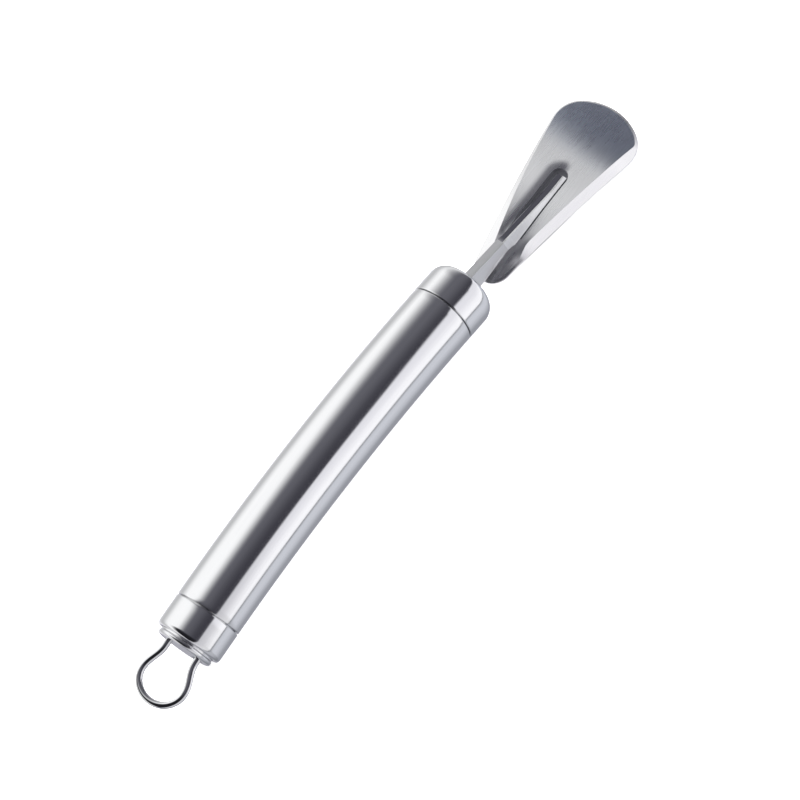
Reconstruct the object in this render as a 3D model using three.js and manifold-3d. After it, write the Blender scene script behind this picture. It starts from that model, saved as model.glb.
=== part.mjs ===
// Orange peeler: arched steel tube handle, peeling plate with a scoring knife, wire hanging loop.
// Millimetres. +X runs from the loop to the plate's tip, +Z is the knife side, +Y is to the left.

import * as THREE from 'three';
import Module from 'manifold-3d';
import { mergeVertices } from 'three/addons/utils/BufferGeometryUtils.js';

const wasm = await Module();
wasm.setup();

// Handle
const TUBE_DIAMETER = 18.4;
const TUBE_WALL = 0.9;
const TUBE_LENGTH = 97.2;
const ARCH_RADIUS = 359;
const SEAM_GAP = 0.3;
const SEAM_CHAMFER = 0.35;
const SPIGOT_LENGTH = 6;
const SPIGOT_WALL = 1.3;
const SPIGOT_CLEARANCE = 0.2;

// Front cap and the tang inside it
const FRONT_CAP_LENGTH = 11.2;
const NOSE_SHOULDER = 4.4;
const NOSE_CROWN = 0.6;
const NOSE_WALL = 1.2;
const TANG_ABOVE_AXIS = 3.7;
const TANG_BELOW_AXIS = 3.9;
const TANG_CLEARANCE = 0.2;
const TANG_INSET = 3;
const SOCKET_CLEARANCE = 0.2;
const PIN_DIAMETER = 2;
const PIN_CLEARANCE = 0.15;

// Rear cap and end plug
const REAR_CAP_LENGTH = 8.9;
const REAR_BARREL_DROP = 0.7;
const END_PLUG_DIAMETER = 15.6;
const END_BEAD_WIDTH = 1.7;
const END_GROOVE_WIDTH = 0.3;
const END_GROOVE_DEPTH = 0.25;
const END_PLATE_THICKNESS = 1.2;
const END_DOME = 0.3;
const PLUG_WALL = 0.8;
const PLUG_DEPTH = 4.2;
const PLUG_CLEARANCE = 0.15;
const RETAINER_CLEARANCE = 0.2;
const RETAINER_STOP_LEDGE = 0.8;

// Hanging loop
const WIRE_DIAMETER = 1.9;
const LOOP_WIDTH = 13.6;
const LOOP_WIDEST = 9.2;
const LOOP_REACH = 15.2;
const LEG_STRAIGHT = 1.2;
const LEG_CURVE_PULL = 0.4;
const BOW_CURVE_PULL = 0.55;
const FOOT_LENGTH = 1.72;
const FOOT_BEND_INSIDE = 0.1;
const FOOT_CLEARANCE = 0.2;
const LEG_HOLE_SIDE_CLEARANCE = 0.35;
const LOOP_SWING_DEG = 15;
const LOOP_DROOP_DEG = 5.6;

// Peeling plate
const HEEL_GAP = 3.2;
const PLATE_DROP = 2.95;
const PLATE_LENGTH = 55;
const PLATE_THICKNESS = 1.2;
const PLATE_ARCH_RADIUS = 205;
const PLATE_CROWN_SETBACK = 2.8;
const HEEL_RADIUS = 5.2;
const FLARE_DEG = 9.8;
const TIP_FRONT_RADIUS = 16.5;
const TIP_CORNER_RADIUS = 7.8;
const SIDE_BEVEL = 2.2;
const TIP_BEVEL = 0.5;
const BEVEL_DEG = 20;
const SLOT_WIDTH = 4.7;
const SLOT_FROM_HEEL = 13.7;
const SLOT_LENGTH = 21;

// Scoring knife
const BAR_THICKNESS = 2.2;
const RIDGE_ABOVE_NOSE = 3.3;
const RIDGE_FROM_NOSE = 1.2;
const EDGE_END_SINK = 0.8;
const KNIFE_END_CLEARANCE = 1.6;
const KNIFE_STEP_CLEARANCE = 0.5;
const KNIFE_SIDE_CLEARANCE = 0.4;
const GRIND_FROM_HEEL = 9.6;
const GRIND_RUN_OUT = 1.8;
const GRIND_DROP = 0.6;
const EDGE_LAND = 0.1;

// Heel welds
const WELD_LEG = 1.6;
const WELD_HEIGHT = 1.8;
const WELD_END_INSET = 1.4;
const WELD_END_SHARE = 0.4;
const WELD_HOLLOW = 0.4;
const FACE_GAP = 0.05;

// Fineness of the curved faces
const ROUND_STEPS = 48;
const ARCH_STEPS = 18;
const CURVE_STEPS = 6;
const OUTLINE_STEPS = 64;
const WIRE_STEPS = 64;

// Sizes that follow from the ones above
const tubeRadius = TUBE_DIAMETER / 2;
const boreRadius = tubeRadius - TUBE_WALL;
const spigotRadius = boreRadius - SPIGOT_CLEARANCE;
const spigotBore = spigotRadius - SPIGOT_WALL;
const seamRadius = tubeRadius - SEAM_CHAMFER;
const halfBend = TUBE_LENGTH / 2 / ARCH_RADIUS;
const seamX = ARCH_RADIUS * Math.sin(halfBend);
const seamZ = ARCH_RADIUS * (Math.cos(halfBend) - 1);
const wireRadius = WIRE_DIAMETER / 2;
const barHalf = BAR_THICKNESS / 2;
const knifeFoot = SLOT_WIDTH / 2 - KNIFE_SIDE_CLEARANCE;
const tangRear = -SPIGOT_LENGTH + TANG_INSET;
const plugRadius = END_PLUG_DIAMETER / 2;
const plugSpigot = plugRadius - END_GROOVE_DEPTH;
const plugCavity = plugSpigot - PLUG_WALL;
const plugHead = END_BEAD_WIDTH + END_GROOVE_WIDTH;
const endFace = REAR_CAP_LENGTH + plugHead;
const hingeFromEnd = END_PLATE_THICKNESS + FOOT_CLEARANCE + wireRadius;
const footEnd = Math.sqrt((plugCavity - FOOT_CLEARANCE) ** 2 - wireRadius ** 2);
const legAcross = footEnd - FOOT_LENGTH;
const footBend = wireRadius + FOOT_BEND_INSIDE;
const flare = THREE.MathUtils.degToRad(FLARE_DEG);

// Points of the straight line that carries the nose, in the plane of symmetry
function nosePoint(along, above) {
  const x = seamX + along * Math.cos(halfBend) + above * Math.sin(halfBend);
  const z = seamZ - along * Math.sin(halfBend) + above * Math.cos(halfBend);
  return new THREE.Vector2(x, z);
}

const noseTip = nosePoint(FRONT_CAP_LENGTH, 0);
const heelX = noseTip.x + HEEL_GAP;
const tipX = heelX + PLATE_LENGTH;
const slotStart = heelX + SLOT_FROM_HEEL;
const slotEnd = slotStart + SLOT_LENGTH;
const stepX = slotStart + KNIFE_STEP_CLEARANCE;
const knifeEnd = slotEnd - KNIFE_END_CLEARANCE;

function plateTop(x) {
  const fromCrown = x - (heelX + tipX) / 2 + PLATE_CROWN_SETBACK;
  return noseTip.y - PLATE_DROP - fromCrown ** 2 / (2 * PLATE_ARCH_RADIUS);
}

const ridgeStart = new THREE.Vector2(noseTip.x + RIDGE_FROM_NOSE, noseTip.y + RIDGE_ABOVE_NOSE);
const ridgeEnd = new THREE.Vector2(knifeEnd, plateTop(knifeEnd) - EDGE_END_SINK);

function ridgeHeight(x) {
  const share = (x - ridgeStart.x) / (ridgeEnd.x - ridgeStart.x);
  return THREE.MathUtils.lerp(ridgeStart.y, ridgeEnd.y, share);
}

// Mesh helpers

function signedVolume(position, index) {
  const a = new THREE.Vector3();
  const b = new THREE.Vector3();
  const c = new THREE.Vector3();
  let volume = 0;
  for (let i = 0; i < index.length; i += 3) {
    a.fromBufferAttribute(position, index[i]);
    b.fromBufferAttribute(position, index[i + 1]);
    c.fromBufferAttribute(position, index[i + 2]);
    volume += a.dot(b.cross(c)) / 6;
  }
  return volume;
}

// Shares the vertices, drops triangles with no area and turns the faces outward
function weld(source) {
  const bare = source.clone();
  bare.deleteAttribute('normal');
  bare.deleteAttribute('uv');
  const merged = mergeVertices(bare, 1e-4);
  const all = Array.from(merged.index.array);
  const kept = [];
  for (let i = 0; i < all.length; i += 3) {
    const [a, b, c] = all.slice(i, i + 3);
    if (a !== b && b !== c && c !== a) {
      kept.push(a, b, c);
    }
  }
  if (signedVolume(merged.attributes.position, kept) < 0) {
    kept.reverse();
  }
  merged.setIndex(kept);
  return merged;
}

function toSolid(geometry) {
  const clean = weld(geometry);
  const mesh = new wasm.Mesh({
    numProp: 3,
    vertProperties: new Float32Array(clean.attributes.position.array),
    triVerts: new Uint32Array(clean.index.array),
  });
  return new wasm.Manifold(mesh);
}

function toGeometry(solid) {
  const mesh = solid.getMesh();
  const geometry = new THREE.BufferGeometry();
  geometry.setAttribute('position', new THREE.BufferAttribute(mesh.vertProperties, 3));
  geometry.setIndex(new THREE.BufferAttribute(mesh.triVerts, 1));
  return geometry;
}

function cut(body, tools) {
  let solid = toSolid(body);
  for (const tool of tools) {
    solid = solid.subtract(toSolid(tool));
  }
  return toGeometry(solid);
}

// Turns a profile of [along X, radius] points about the X axis
function revolve(profile) {
  const points = profile.map(([along, radius]) => new THREE.Vector2(radius, along));
  return new THREE.LatheGeometry(points, ROUND_STEPS).rotateZ(-Math.PI / 2);
}

// Skins a row of rings with equal point counts and closes both ends with a fan
function skin(rings) {
  const count = rings[0].length;
  const points = rings.flat();
  const index = [];
  for (let r = 0; r + 1 < rings.length; r += 1) {
    for (let i = 0; i < count; i += 1) {
      const j = (i + 1) % count;
      const low = r * count;
      const high = low + count;
      index.push(low + i, low + j, high + j, low + i, high + j, high + i);
    }
  }
  const last = (rings.length - 1) * count;
  for (let i = 1; i + 1 < count; i += 1) {
    index.push(0, i + 1, i, last, last + i, last + i + 1);
  }
  return new THREE.BufferGeometry().setFromPoints(points).setIndex(index);
}

function boxBetween(low, high) {
  const size = new THREE.Vector3().subVectors(high, low);
  const middle = new THREE.Vector3().addVectors(low, high).multiplyScalar(0.5);
  return new THREE.BoxGeometry(size.x, size.y, size.z).translate(middle.x, middle.y, middle.z);
}

// Stands a drawn X-Z outline on edge, centred on the plane of symmetry
function sideExtrusion(shape, width) {
  const flat = new THREE.ExtrudeGeometry(shape, { depth: width, bevelEnabled: false });
  return flat.rotateX(Math.PI / 2).translate(0, width / 2, 0);
}

function planExtrusion(shape, low, high) {
  const solid = new THREE.ExtrudeGeometry(shape, {
    depth: high - low,
    bevelEnabled: false,
    curveSegments: CURVE_STEPS,
  });
  return solid.translate(0, 0, low);
}

function crossCylinder(radius, length) {
  return new THREE.CylinderGeometry(radius, radius, length, ROUND_STEPS / 2);
}

// A quarter of an ellipse in a profile, from the rim inward
function shoulder(startAlong, startRadius, along, inward) {
  const points = [];
  for (let i = 0; i <= CURVE_STEPS; i += 1) {
    const turn = (i / CURVE_STEPS) * (Math.PI / 2);
    const x = startAlong + along * Math.sin(turn);
    points.push([x, startRadius - inward * (1 - Math.cos(turn))]);
  }
  return points;
}

// A shallow dome in a profile, from its rim to the axis
function dome(rimAlong, radius, rise) {
  const points = [];
  for (let i = 1; i <= CURVE_STEPS / 2; i += 1) {
    const share = 1 - i / (CURVE_STEPS / 2);
    points.push([rimAlong + rise * (1 - share ** 2), radius * share]);
  }
  return points;
}

// Handle

function handleTube() {
  const half = TUBE_LENGTH / 2 - SEAM_GAP / 2;
  const outer = [];
  const inner = [];
  for (let i = 0; i <= ARCH_STEPS; i += 1) {
    const share = i / ARCH_STEPS;
    outer.push([THREE.MathUtils.lerp(-half + SEAM_CHAMFER, half - SEAM_CHAMFER, share), tubeRadius]);
    inner.push([THREE.MathUtils.lerp(half, -half, share), boreRadius]);
  }
  const profile = [[-half, seamRadius], ...outer, [half, seamRadius], ...inner, [-half, seamRadius]];
  const tube = revolve(profile);
  const place = tube.attributes.position;
  for (let i = 0; i < place.count; i += 1) {
    const turn = place.getX(i) / ARCH_RADIUS;
    const radius = ARCH_RADIUS + place.getZ(i);
    place.setX(i, radius * Math.sin(turn));
    place.setZ(i, radius * Math.cos(turn) - ARCH_RADIUS);
  }
  return tube;
}

// Front pieces: x runs forward from the front seam along the nose's axis

function tangPassage() {
  const side = barHalf + TANG_CLEARANCE;
  const low = new THREE.Vector3(tangRear - TANG_CLEARANCE, -side, -TANG_BELOW_AXIS - TANG_CLEARANCE);
  const high = new THREE.Vector3(FRONT_CAP_LENGTH * 2, side, TANG_ABOVE_AXIS + TANG_CLEARANCE);
  return boxBetween(low, high);
}

function frontCap() {
  const rim = SEAM_GAP / 2;
  const shoulderStart = FRONT_CAP_LENGTH - NOSE_CROWN - NOSE_SHOULDER;
  const crownRadius = tubeRadius - NOSE_SHOULDER;
  const bottom = FRONT_CAP_LENGTH - NOSE_CROWN - NOSE_WALL;
  const profile = [
    [-SPIGOT_LENGTH, spigotBore],
    [-SPIGOT_LENGTH, spigotRadius],
    [rim, spigotRadius],
    [rim, seamRadius],
    [rim + SEAM_CHAMFER, tubeRadius],
    ...shoulder(shoulderStart, tubeRadius, NOSE_SHOULDER, NOSE_SHOULDER),
    ...dome(FRONT_CAP_LENGTH - NOSE_CROWN, crownRadius, NOSE_CROWN),
    [bottom, 0],
    [bottom, crownRadius],
    [shoulderStart, spigotBore],
    [-SPIGOT_LENGTH, spigotBore],
  ];
  return cut(revolve(profile), [tangPassage()]);
}

const socketRadius = spigotBore - SOCKET_CLEARANCE;
const socketFront = FRONT_CAP_LENGTH - NOSE_CROWN - NOSE_SHOULDER;
const pinAlong = (tangRear + socketFront) / 2;

function tangSocket() {
  const profile = [
    [-SPIGOT_LENGTH, 0],
    [-SPIGOT_LENGTH, socketRadius],
    [socketFront, socketRadius],
    [socketFront, 0],
  ];
  const bore = crossCylinder(PIN_DIAMETER / 2 + PIN_CLEARANCE, 4 * socketRadius);
  return cut(revolve(profile), [tangPassage(), bore.translate(pinAlong, 0, 0)]);
}

function tangPin() {
  const halfChord = Math.sqrt(socketRadius ** 2 - (PIN_DIAMETER / 2) ** 2);
  return crossCylinder(PIN_DIAMETER / 2, 2 * halfChord).translate(pinAlong, 0, 0);
}

// Rear pieces: x runs back from the rear seam along the rear axis

function rearCap() {
  const rim = SEAM_GAP / 2;
  const end = REAR_CAP_LENGTH;
  const bore = plugSpigot + PLUG_CLEARANCE;
  const boreEnd = endFace - plugHead - PLUG_DEPTH - PLUG_CLEARANCE;
  const stopBore = plugCavity - RETAINER_CLEARANCE - RETAINER_STOP_LEDGE;
  const barrel = shoulder(end - 2 * REAR_BARREL_DROP, tubeRadius, 2 * REAR_BARREL_DROP, REAR_BARREL_DROP);
  return revolve([
    [-SPIGOT_LENGTH, stopBore],
    [-SPIGOT_LENGTH, spigotRadius],
    [rim, spigotRadius],
    [rim, seamRadius],
    [rim + SEAM_CHAMFER, tubeRadius],
    ...barrel,
    [end, bore],
    [boreEnd, bore],
    [boreEnd, stopBore],
    [-SPIGOT_LENGTH, stopBore],
  ]);
}

function legHole(side) {
  const swing = THREE.MathUtils.degToRad(LOOP_SWING_DEG);
  const reach = hingeFromEnd * Math.tan(swing) + wireRadius / Math.cos(swing);
  const halfHeight = reach + FOOT_CLEARANCE;
  const halfWidth = wireRadius + LEG_HOLE_SIDE_CLEARANCE;
  const rise = halfHeight - halfWidth;
  const shape = new THREE.Shape();
  shape.absarc(0, rise, halfWidth, 0, Math.PI, false);
  shape.absarc(0, -rise, halfWidth, Math.PI, 2 * Math.PI, false);
  const depth = 3 * END_PLATE_THICKNESS + 2 * END_DOME;
  const hole = planExtrusion(shape, -depth / 2, depth / 2);
  hole.rotateY(Math.PI / 2).rotateX(Math.PI / 2);
  return hole.translate(endFace, side * legAcross, 0);
}

function endPlug() {
  const beadRound = END_BEAD_WIDTH / 2;
  const beadMiddle = endFace - beadRound;
  const beadRim = plugRadius - beadRound;
  const groove = Math.asin(1 - END_GROOVE_DEPTH / beadRound);
  const inner = endFace - plugHead - PLUG_DEPTH;
  const bead = [];
  for (let i = 0; i <= 2 * CURVE_STEPS; i += 1) {
    const turn = THREE.MathUtils.lerp(groove, Math.PI, i / (2 * CURVE_STEPS));
    bead.push([beadMiddle - beadRound * Math.cos(turn), beadRim + beadRound * Math.sin(turn)]);
  }
  const profile = [
    [inner, plugCavity],
    [inner, plugSpigot],
    ...bead,
    ...dome(endFace, beadRim, END_DOME),
    [endFace - END_PLATE_THICKNESS, 0],
    [endFace - END_PLATE_THICKNESS, plugCavity],
    [inner, plugCavity],
  ];
  return cut(revolve(profile), [legHole(-1), legHole(1)]);
}

function loopRetainer() {
  const front = endFace - hingeFromEnd - FOOT_CLEARANCE;
  const back = endFace - plugHead - PLUG_DEPTH;
  const radius = plugCavity - RETAINER_CLEARANCE;
  const disc = revolve([[back, 0], [back, radius], [front, radius], [front, 0]]);
  const channel = crossCylinder(wireRadius + FOOT_CLEARANCE, 4 * radius);
  return cut(disc, [channel.translate(endFace - hingeFromEnd, 0, 0)]);
}

// Half of the wire's centre line, from the end of one foot to the far end of the loop
function halfLoop(side) {
  const at = (along, across) => new THREE.Vector3(along, side * across, 0);
  const leg = legAcross;
  const hinge = endFace - hingeFromEnd;
  const widest = endFace + LOOP_WIDEST;
  const end = endFace + LOOP_REACH;
  const halfWidth = LOOP_WIDTH / 2;
  const straight = endFace + LEG_STRAIGHT;
  const pull = (widest - straight) * LEG_CURVE_PULL;
  return [
    new THREE.LineCurve3(at(hinge, footEnd), at(hinge, leg + footBend)),
    new THREE.QuadraticBezierCurve3(at(hinge, leg + footBend), at(hinge, leg), at(hinge + footBend, leg)),
    new THREE.LineCurve3(at(hinge + footBend, leg), at(straight, leg)),
    new THREE.CubicBezierCurve3(
      at(straight, leg),
      at(straight + pull, leg),
      at(widest - pull, halfWidth),
      at(widest, halfWidth),
    ),
    new THREE.CubicBezierCurve3(
      at(widest, halfWidth),
      at(widest + BOW_CURVE_PULL * (end - widest), halfWidth),
      at(end, BOW_CURVE_PULL * halfWidth),
      at(end, 0),
    ),
  ];
}

function reversed(curve) {
  const ends = ['v0', 'v1', 'v2', 'v3'].filter((name) => curve[name]).map((name) => curve[name]);
  return new curve.constructor(...ends.reverse());
}

function hangingLoop() {
  const path = new THREE.CurvePath();
  halfLoop(1).forEach((curve) => path.add(curve));
  halfLoop(-1).reverse().forEach((curve) => path.add(reversed(curve)));
  const section = new THREE.Shape().absarc(0, 0, wireRadius, 0, 2 * Math.PI, false);
  const wire = new THREE.ExtrudeGeometry(section, {
    steps: WIRE_STEPS,
    curveSegments: CURVE_STEPS,
    extrudePath: path,
  });
  const hinge = endFace - hingeFromEnd;
  const droop = THREE.MathUtils.degToRad(LOOP_DROOP_DEG);
  return wire.translate(-hinge, 0, 0).rotateY(-droop).translate(hinge, 0, 0);
}

// Peeling plate

// One side of the plate's outline: round heel, straight flare, round corner, front arc
function halfOutline() {
  const heel = new THREE.Vector2(heelX + HEEL_RADIUS, 0);
  const front = new THREE.Vector2(tipX - TIP_FRONT_RADIUS, 0);
  const outward = new THREE.Vector2(-Math.sin(flare), Math.cos(flare));
  const forward = new THREE.Vector2(Math.cos(flare), Math.sin(flare));
  const from = heel.clone().addScaledVector(outward, HEEL_RADIUS - TIP_CORNER_RADIUS).sub(front);
  const inside = TIP_FRONT_RADIUS - TIP_CORNER_RADIUS;
  const lean = from.dot(forward);
  const run = -lean + Math.sqrt(lean ** 2 - from.lengthSq() + inside ** 2);
  const corner = from.addScaledVector(forward, run).add(front);
  const meet = Math.atan2(corner.y, corner.x - front.x);
  const square = Math.PI / 2 + flare;
  const path = new THREE.Path();
  path.absarc(heel.x, 0, HEEL_RADIUS, Math.PI, square, true);
  path.absarc(corner.x, corner.y, TIP_CORNER_RADIUS, square, meet, true);
  path.absarc(front.x, 0, TIP_FRONT_RADIUS, meet, 0, true);
  return { points: path.getSpacedPoints(OUTLINE_STEPS), cornerX: corner.x };
}

function insetOutline(points, cornerX) {
  return points.map((point, i) => {
    const before = points[i - 1] ?? new THREE.Vector2(points[1].x, -points[1].y);
    const after = points[i + 1] ?? new THREE.Vector2(points[i - 1].x, -points[i - 1].y);
    const along = new THREE.Vector2().subVectors(after, before).normalize();
    const share = THREE.MathUtils.smoothstep(point.x, cornerX - 4 * SIDE_BEVEL, tipX - TIP_CORNER_RADIUS / 2);
    const width = THREE.MathUtils.lerp(SIDE_BEVEL, TIP_BEVEL, share);
    const inner = new THREE.Vector2(point.x + along.y * width, point.y - along.x * width);
    return { inner, drop: width * Math.tan(THREE.MathUtils.degToRad(BEVEL_DEG)) };
  });
}

// Closes a symmetric half outline into a ring, both ends lying on the plane of symmetry
function mirroredRing(half) {
  const back = half.slice(1, -1).reverse();
  return [...half, ...back.map((point) => new THREE.Vector3(point.x, -point.y, point.z))];
}

// Triangles across a mirrored ring, so that the arch is followed from side to side
function mirroredCap(offset, halfCount) {
  const ringCount = 2 * halfCount - 2;
  const mirror = (i) => offset + ((ringCount - i) % ringCount);
  const index = [];
  for (let i = 0; i + 1 < halfCount; i += 1) {
    index.push(offset + i, mirror(i), mirror(i + 1));
    index.push(offset + i, mirror(i + 1), offset + i + 1);
  }
  return index;
}

function plateBlank() {
  const { points, cornerX } = halfOutline();
  const inset = insetOutline(points, cornerX);
  const raise = (point, drop) => new THREE.Vector3(point.x, point.y, plateTop(point.x) - drop);
  const top = mirroredRing(inset.map(({ inner }) => raise(inner, 0)));
  const rim = mirroredRing(points.map((point, i) => raise(point, inset[i].drop)));
  const under = mirroredRing(points.map((point) => raise(point, PLATE_THICKNESS)));
  const rings = [top, rim, under];
  const count = top.length;
  const index = mirroredCap(0, points.length);
  const underside = mirroredCap(2 * count, points.length).reverse();
  index.push(...underside);
  for (let r = 0; r < 2; r += 1) {
    for (let i = 0; i < count; i += 1) {
      const j = (i + 1) % count;
      const low = r * count;
      const high = low + count;
      index.push(low + i, low + j, high + j, low + i, high + j, high + i);
    }
  }
  return new THREE.BufferGeometry().setFromPoints(rings.flat()).setIndex(index);
}

// A straight strip in plan with a square start and a round front end
function stripPlan(start, end, halfWidth) {
  const shape = new THREE.Shape();
  shape.moveTo(start, -halfWidth);
  shape.lineTo(end - halfWidth, -halfWidth);
  shape.absarc(end - halfWidth, 0, halfWidth, -Math.PI / 2, Math.PI / 2, false);
  shape.lineTo(start, halfWidth);
  return shape;
}

function peelingPlate() {
  const middle = plateTop((heelX + tipX) / 2);
  const reach = PLATE_LENGTH / 2;
  const slot = planExtrusion(stripPlan(slotStart, slotEnd, SLOT_WIDTH / 2), middle - reach, middle + reach);
  return cut(plateBlank(), [slot]);
}

// Scoring knife

function knifeSide() {
  const heelSteps = 2 * CURVE_STEPS;
  const outline = [
    nosePoint(tangRear, -TANG_BELOW_AXIS),
    nosePoint(FRONT_CAP_LENGTH, -TANG_BELOW_AXIS),
  ];
  for (let i = 0; i <= heelSteps; i += 1) {
    const x = THREE.MathUtils.lerp(heelX, slotStart, i / heelSteps);
    outline.push(new THREE.Vector2(x, plateTop(x) + FACE_GAP));
  }
  for (let i = 0; i <= heelSteps; i += 1) {
    const x = THREE.MathUtils.lerp(stepX, knifeEnd, i / heelSteps);
    outline.push(new THREE.Vector2(x, plateTop(x) - PLATE_THICKNESS));
  }
  outline.push(ridgeEnd, ridgeStart, nosePoint(FRONT_CAP_LENGTH - NOSE_CROWN, TANG_ABOVE_AXIS));
  outline.push(nosePoint(tangRear, TANG_ABOVE_AXIS));
  return new THREE.Shape(outline);
}

// The metal ground away above the edge: a slope that falls from the right face to the left
function grindSection(x, drop) {
  const slope = drop / BAR_THICKNESS;
  const edge = ridgeHeight(x);
  const right = -2 * barHalf;
  const left = 2 * barHalf;
  const face = (y) => edge - slope * (y + barHalf - EDGE_LAND);
  const clear = edge + BAR_THICKNESS * 2;
  return [
    new THREE.Vector3(x, right, face(right)),
    new THREE.Vector3(x, left, face(left)),
    new THREE.Vector3(x, left, clear),
    new THREE.Vector3(x, right, clear),
  ];
}

// Below the edge the right face leans out until it nearly fills the slot
function leanSection(x) {
  const foot = plateTop(x) - PLATE_THICKNESS;
  const edge = ridgeHeight(x);
  return [
    new THREE.Vector3(x, 0, foot),
    new THREE.Vector3(x, 0, edge),
    new THREE.Vector3(x, -barHalf, edge),
    new THREE.Vector3(x, -knifeFoot, foot),
  ];
}

function scoringKnife() {
  const leanRings = [];
  for (let i = 0; i <= CURVE_STEPS; i += 1) {
    leanRings.push(leanSection(THREE.MathUtils.lerp(stepX, knifeEnd, i / CURVE_STEPS)));
  }
  const grindStart = heelX + GRIND_FROM_HEEL;
  const grind = skin([
    grindSection(grindStart, 0),
    grindSection(grindStart + GRIND_RUN_OUT, GRIND_DROP),
    grindSection(knifeEnd + BAR_THICKNESS, GRIND_DROP),
  ]);
  const pinPlace = nosePoint(pinAlong, 0);
  const pinHole = crossCylinder(PIN_DIAMETER / 2 + PIN_CLEARANCE, 4 * BAR_THICKNESS);
  const bar = toSolid(sideExtrusion(knifeSide(), BAR_THICKNESS)).add(toSolid(skin(leanRings)));
  return cut(toGeometry(bar), [grind, pinHole.translate(pinPlace.x, 0, pinPlace.y)]);
}

// Fillet beside the bar on the plate's heel
function heelWeld(side) {
  const start = heelX + SIDE_BEVEL + WELD_END_INSET;
  const end = slotStart - WELD_END_INSET;
  const rings = [];
  for (let i = 0; i <= CURVE_STEPS; i += 1) {
    const share = i / CURVE_STEPS;
    const x = THREE.MathUtils.lerp(start, end, share);
    const size = THREE.MathUtils.lerp(WELD_END_SHARE, 1, Math.sqrt(Math.sin(Math.PI * share)));
    const leg = WELD_LEG * size;
    const height = WELD_HEIGHT * size;
    const root = plateTop(x) + FACE_GAP;
    const at = (out, up) => new THREE.Vector3(x, side * (barHalf + FACE_GAP + out), root + up);
    rings.push([at(0, 0), at(leg, 0), at(leg * WELD_HOLLOW, height * WELD_HOLLOW), at(0, height)]);
  }
  return skin(rings);
}

// Materials

function steel(name, color, roughness) {
  return new THREE.MeshStandardMaterial({ name, color, roughness, metalness: 1 });
}

const brushed = () => steel('brushed_steel', 0xbfc2c6, 0.32);
const ground = () => steel('ground_steel', 0xc9ccd0, 0.26);
const polished = () => steel('polished_steel', 0xd6d8db, 0.1);
const plain = () => steel('plain_steel', 0xa9acb0, 0.42);

function node(name, geometry, material) {
  const clean = weld(geometry);
  clean.computeVertexNormals();
  const mesh = new THREE.Mesh(clean, material);
  mesh.name = name;
  return mesh;
}

// Assembly

function frontGroup() {
  const group = new THREE.Group();
  group.position.set(seamX, 0, seamZ);
  group.rotation.y = halfBend;
  group.add(node('front_cap', frontCap(), brushed()));
  group.add(node('tang_socket', tangSocket(), plain()));
  group.add(node('tang_pin', tangPin(), plain()));
  return group;
}

// The rear pieces are drawn pointing forward, so the group is turned to face back
function rearGroup() {
  const group = new THREE.Group();
  group.position.set(-seamX, 0, seamZ);
  group.rotation.set(0, Math.PI - halfBend, 0);
  group.add(node('rear_cap', rearCap(), brushed()));
  group.add(node('end_plug', endPlug(), brushed()));
  group.add(node('loop_retainer', loopRetainer(), plain()));
  group.add(node('hanging_loop', hangingLoop(), polished()));
  return group;
}

function bladeGroup() {
  const group = new THREE.Group();
  group.add(node('peeling_plate', peelingPlate(), brushed()));
  group.add(node('scoring_knife', scoringKnife(), ground()));
  group.add(node('heel_weld_left', heelWeld(1), ground()));
  group.add(node('heel_weld_right', heelWeld(-1), ground()));
  return group;
}

const tool = new THREE.Group();
tool.add(node('handle_tube', handleTube(), brushed()));
tool.add(frontGroup(), rearGroup(), bladeGroup());

// The origin is the middle of the box that holds the whole tool, at its underside
const bounds = new THREE.Box3().setFromObject(tool, true);
const middle = bounds.getCenter(new THREE.Vector3());
tool.position.set(-middle.x, -middle.y, -bounds.min.z);

const peeler = new THREE.Group();
peeler.add(tool);

export default peeler;
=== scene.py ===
"""Looks of an orange peeler: steel tube handle, peeling plate, scoring knife and wire hanging loop.

Sizes are in millimetres along the tool's own axes, and Datum puts them into the shared frame in metres.
"""

import logging
import math
from dataclasses import dataclass, field
from enum import Enum, IntEnum
from typing import Callable, Optional, Sequence, Union

import bmesh
import bpy
from mathutils import Matrix, Vector
from mathutils.geometry import delaunay_2d_cdt

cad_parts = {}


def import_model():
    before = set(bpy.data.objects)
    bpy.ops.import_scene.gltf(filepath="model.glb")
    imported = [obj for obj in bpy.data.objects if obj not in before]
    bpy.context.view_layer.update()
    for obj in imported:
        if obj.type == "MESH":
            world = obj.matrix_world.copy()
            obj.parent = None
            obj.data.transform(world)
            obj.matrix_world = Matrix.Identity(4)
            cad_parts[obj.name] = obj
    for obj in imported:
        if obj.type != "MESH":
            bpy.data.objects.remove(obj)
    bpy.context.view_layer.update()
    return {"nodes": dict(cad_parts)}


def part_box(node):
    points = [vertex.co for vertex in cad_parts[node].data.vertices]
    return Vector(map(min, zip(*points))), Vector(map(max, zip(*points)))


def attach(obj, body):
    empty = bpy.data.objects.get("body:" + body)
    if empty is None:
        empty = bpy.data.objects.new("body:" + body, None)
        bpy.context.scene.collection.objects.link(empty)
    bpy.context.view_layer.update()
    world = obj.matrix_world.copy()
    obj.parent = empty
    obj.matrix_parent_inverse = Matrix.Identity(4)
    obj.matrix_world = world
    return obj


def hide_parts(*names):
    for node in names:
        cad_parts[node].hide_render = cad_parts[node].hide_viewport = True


LOG = logging.getLogger("peeler")
MM_PER_M = 1000.0
Pair = tuple[float, float]
Triple = tuple[float, float, float]
Colour = Triple
Place = Callable[[Vector], Vector]
Region = Callable[[float, float], bool]
Rim = list[tuple[Vector, Vector]]


class Body(Enum):
    """The two bodies that pieces ride on."""

    HANDLE = "handle"
    LOOP = "loop"


class Slot(Enum):
    """The record's material slots of the pieces made here."""

    HANDLE = "handle_steel"
    CAP = "cap_steel"
    PLUG = "plug_steel"
    LOOP = "loop_wire"
    PLATE = "plate_steel"
    KNIFE = "knife_steel"
    WELD = "weld_steel"


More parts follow.
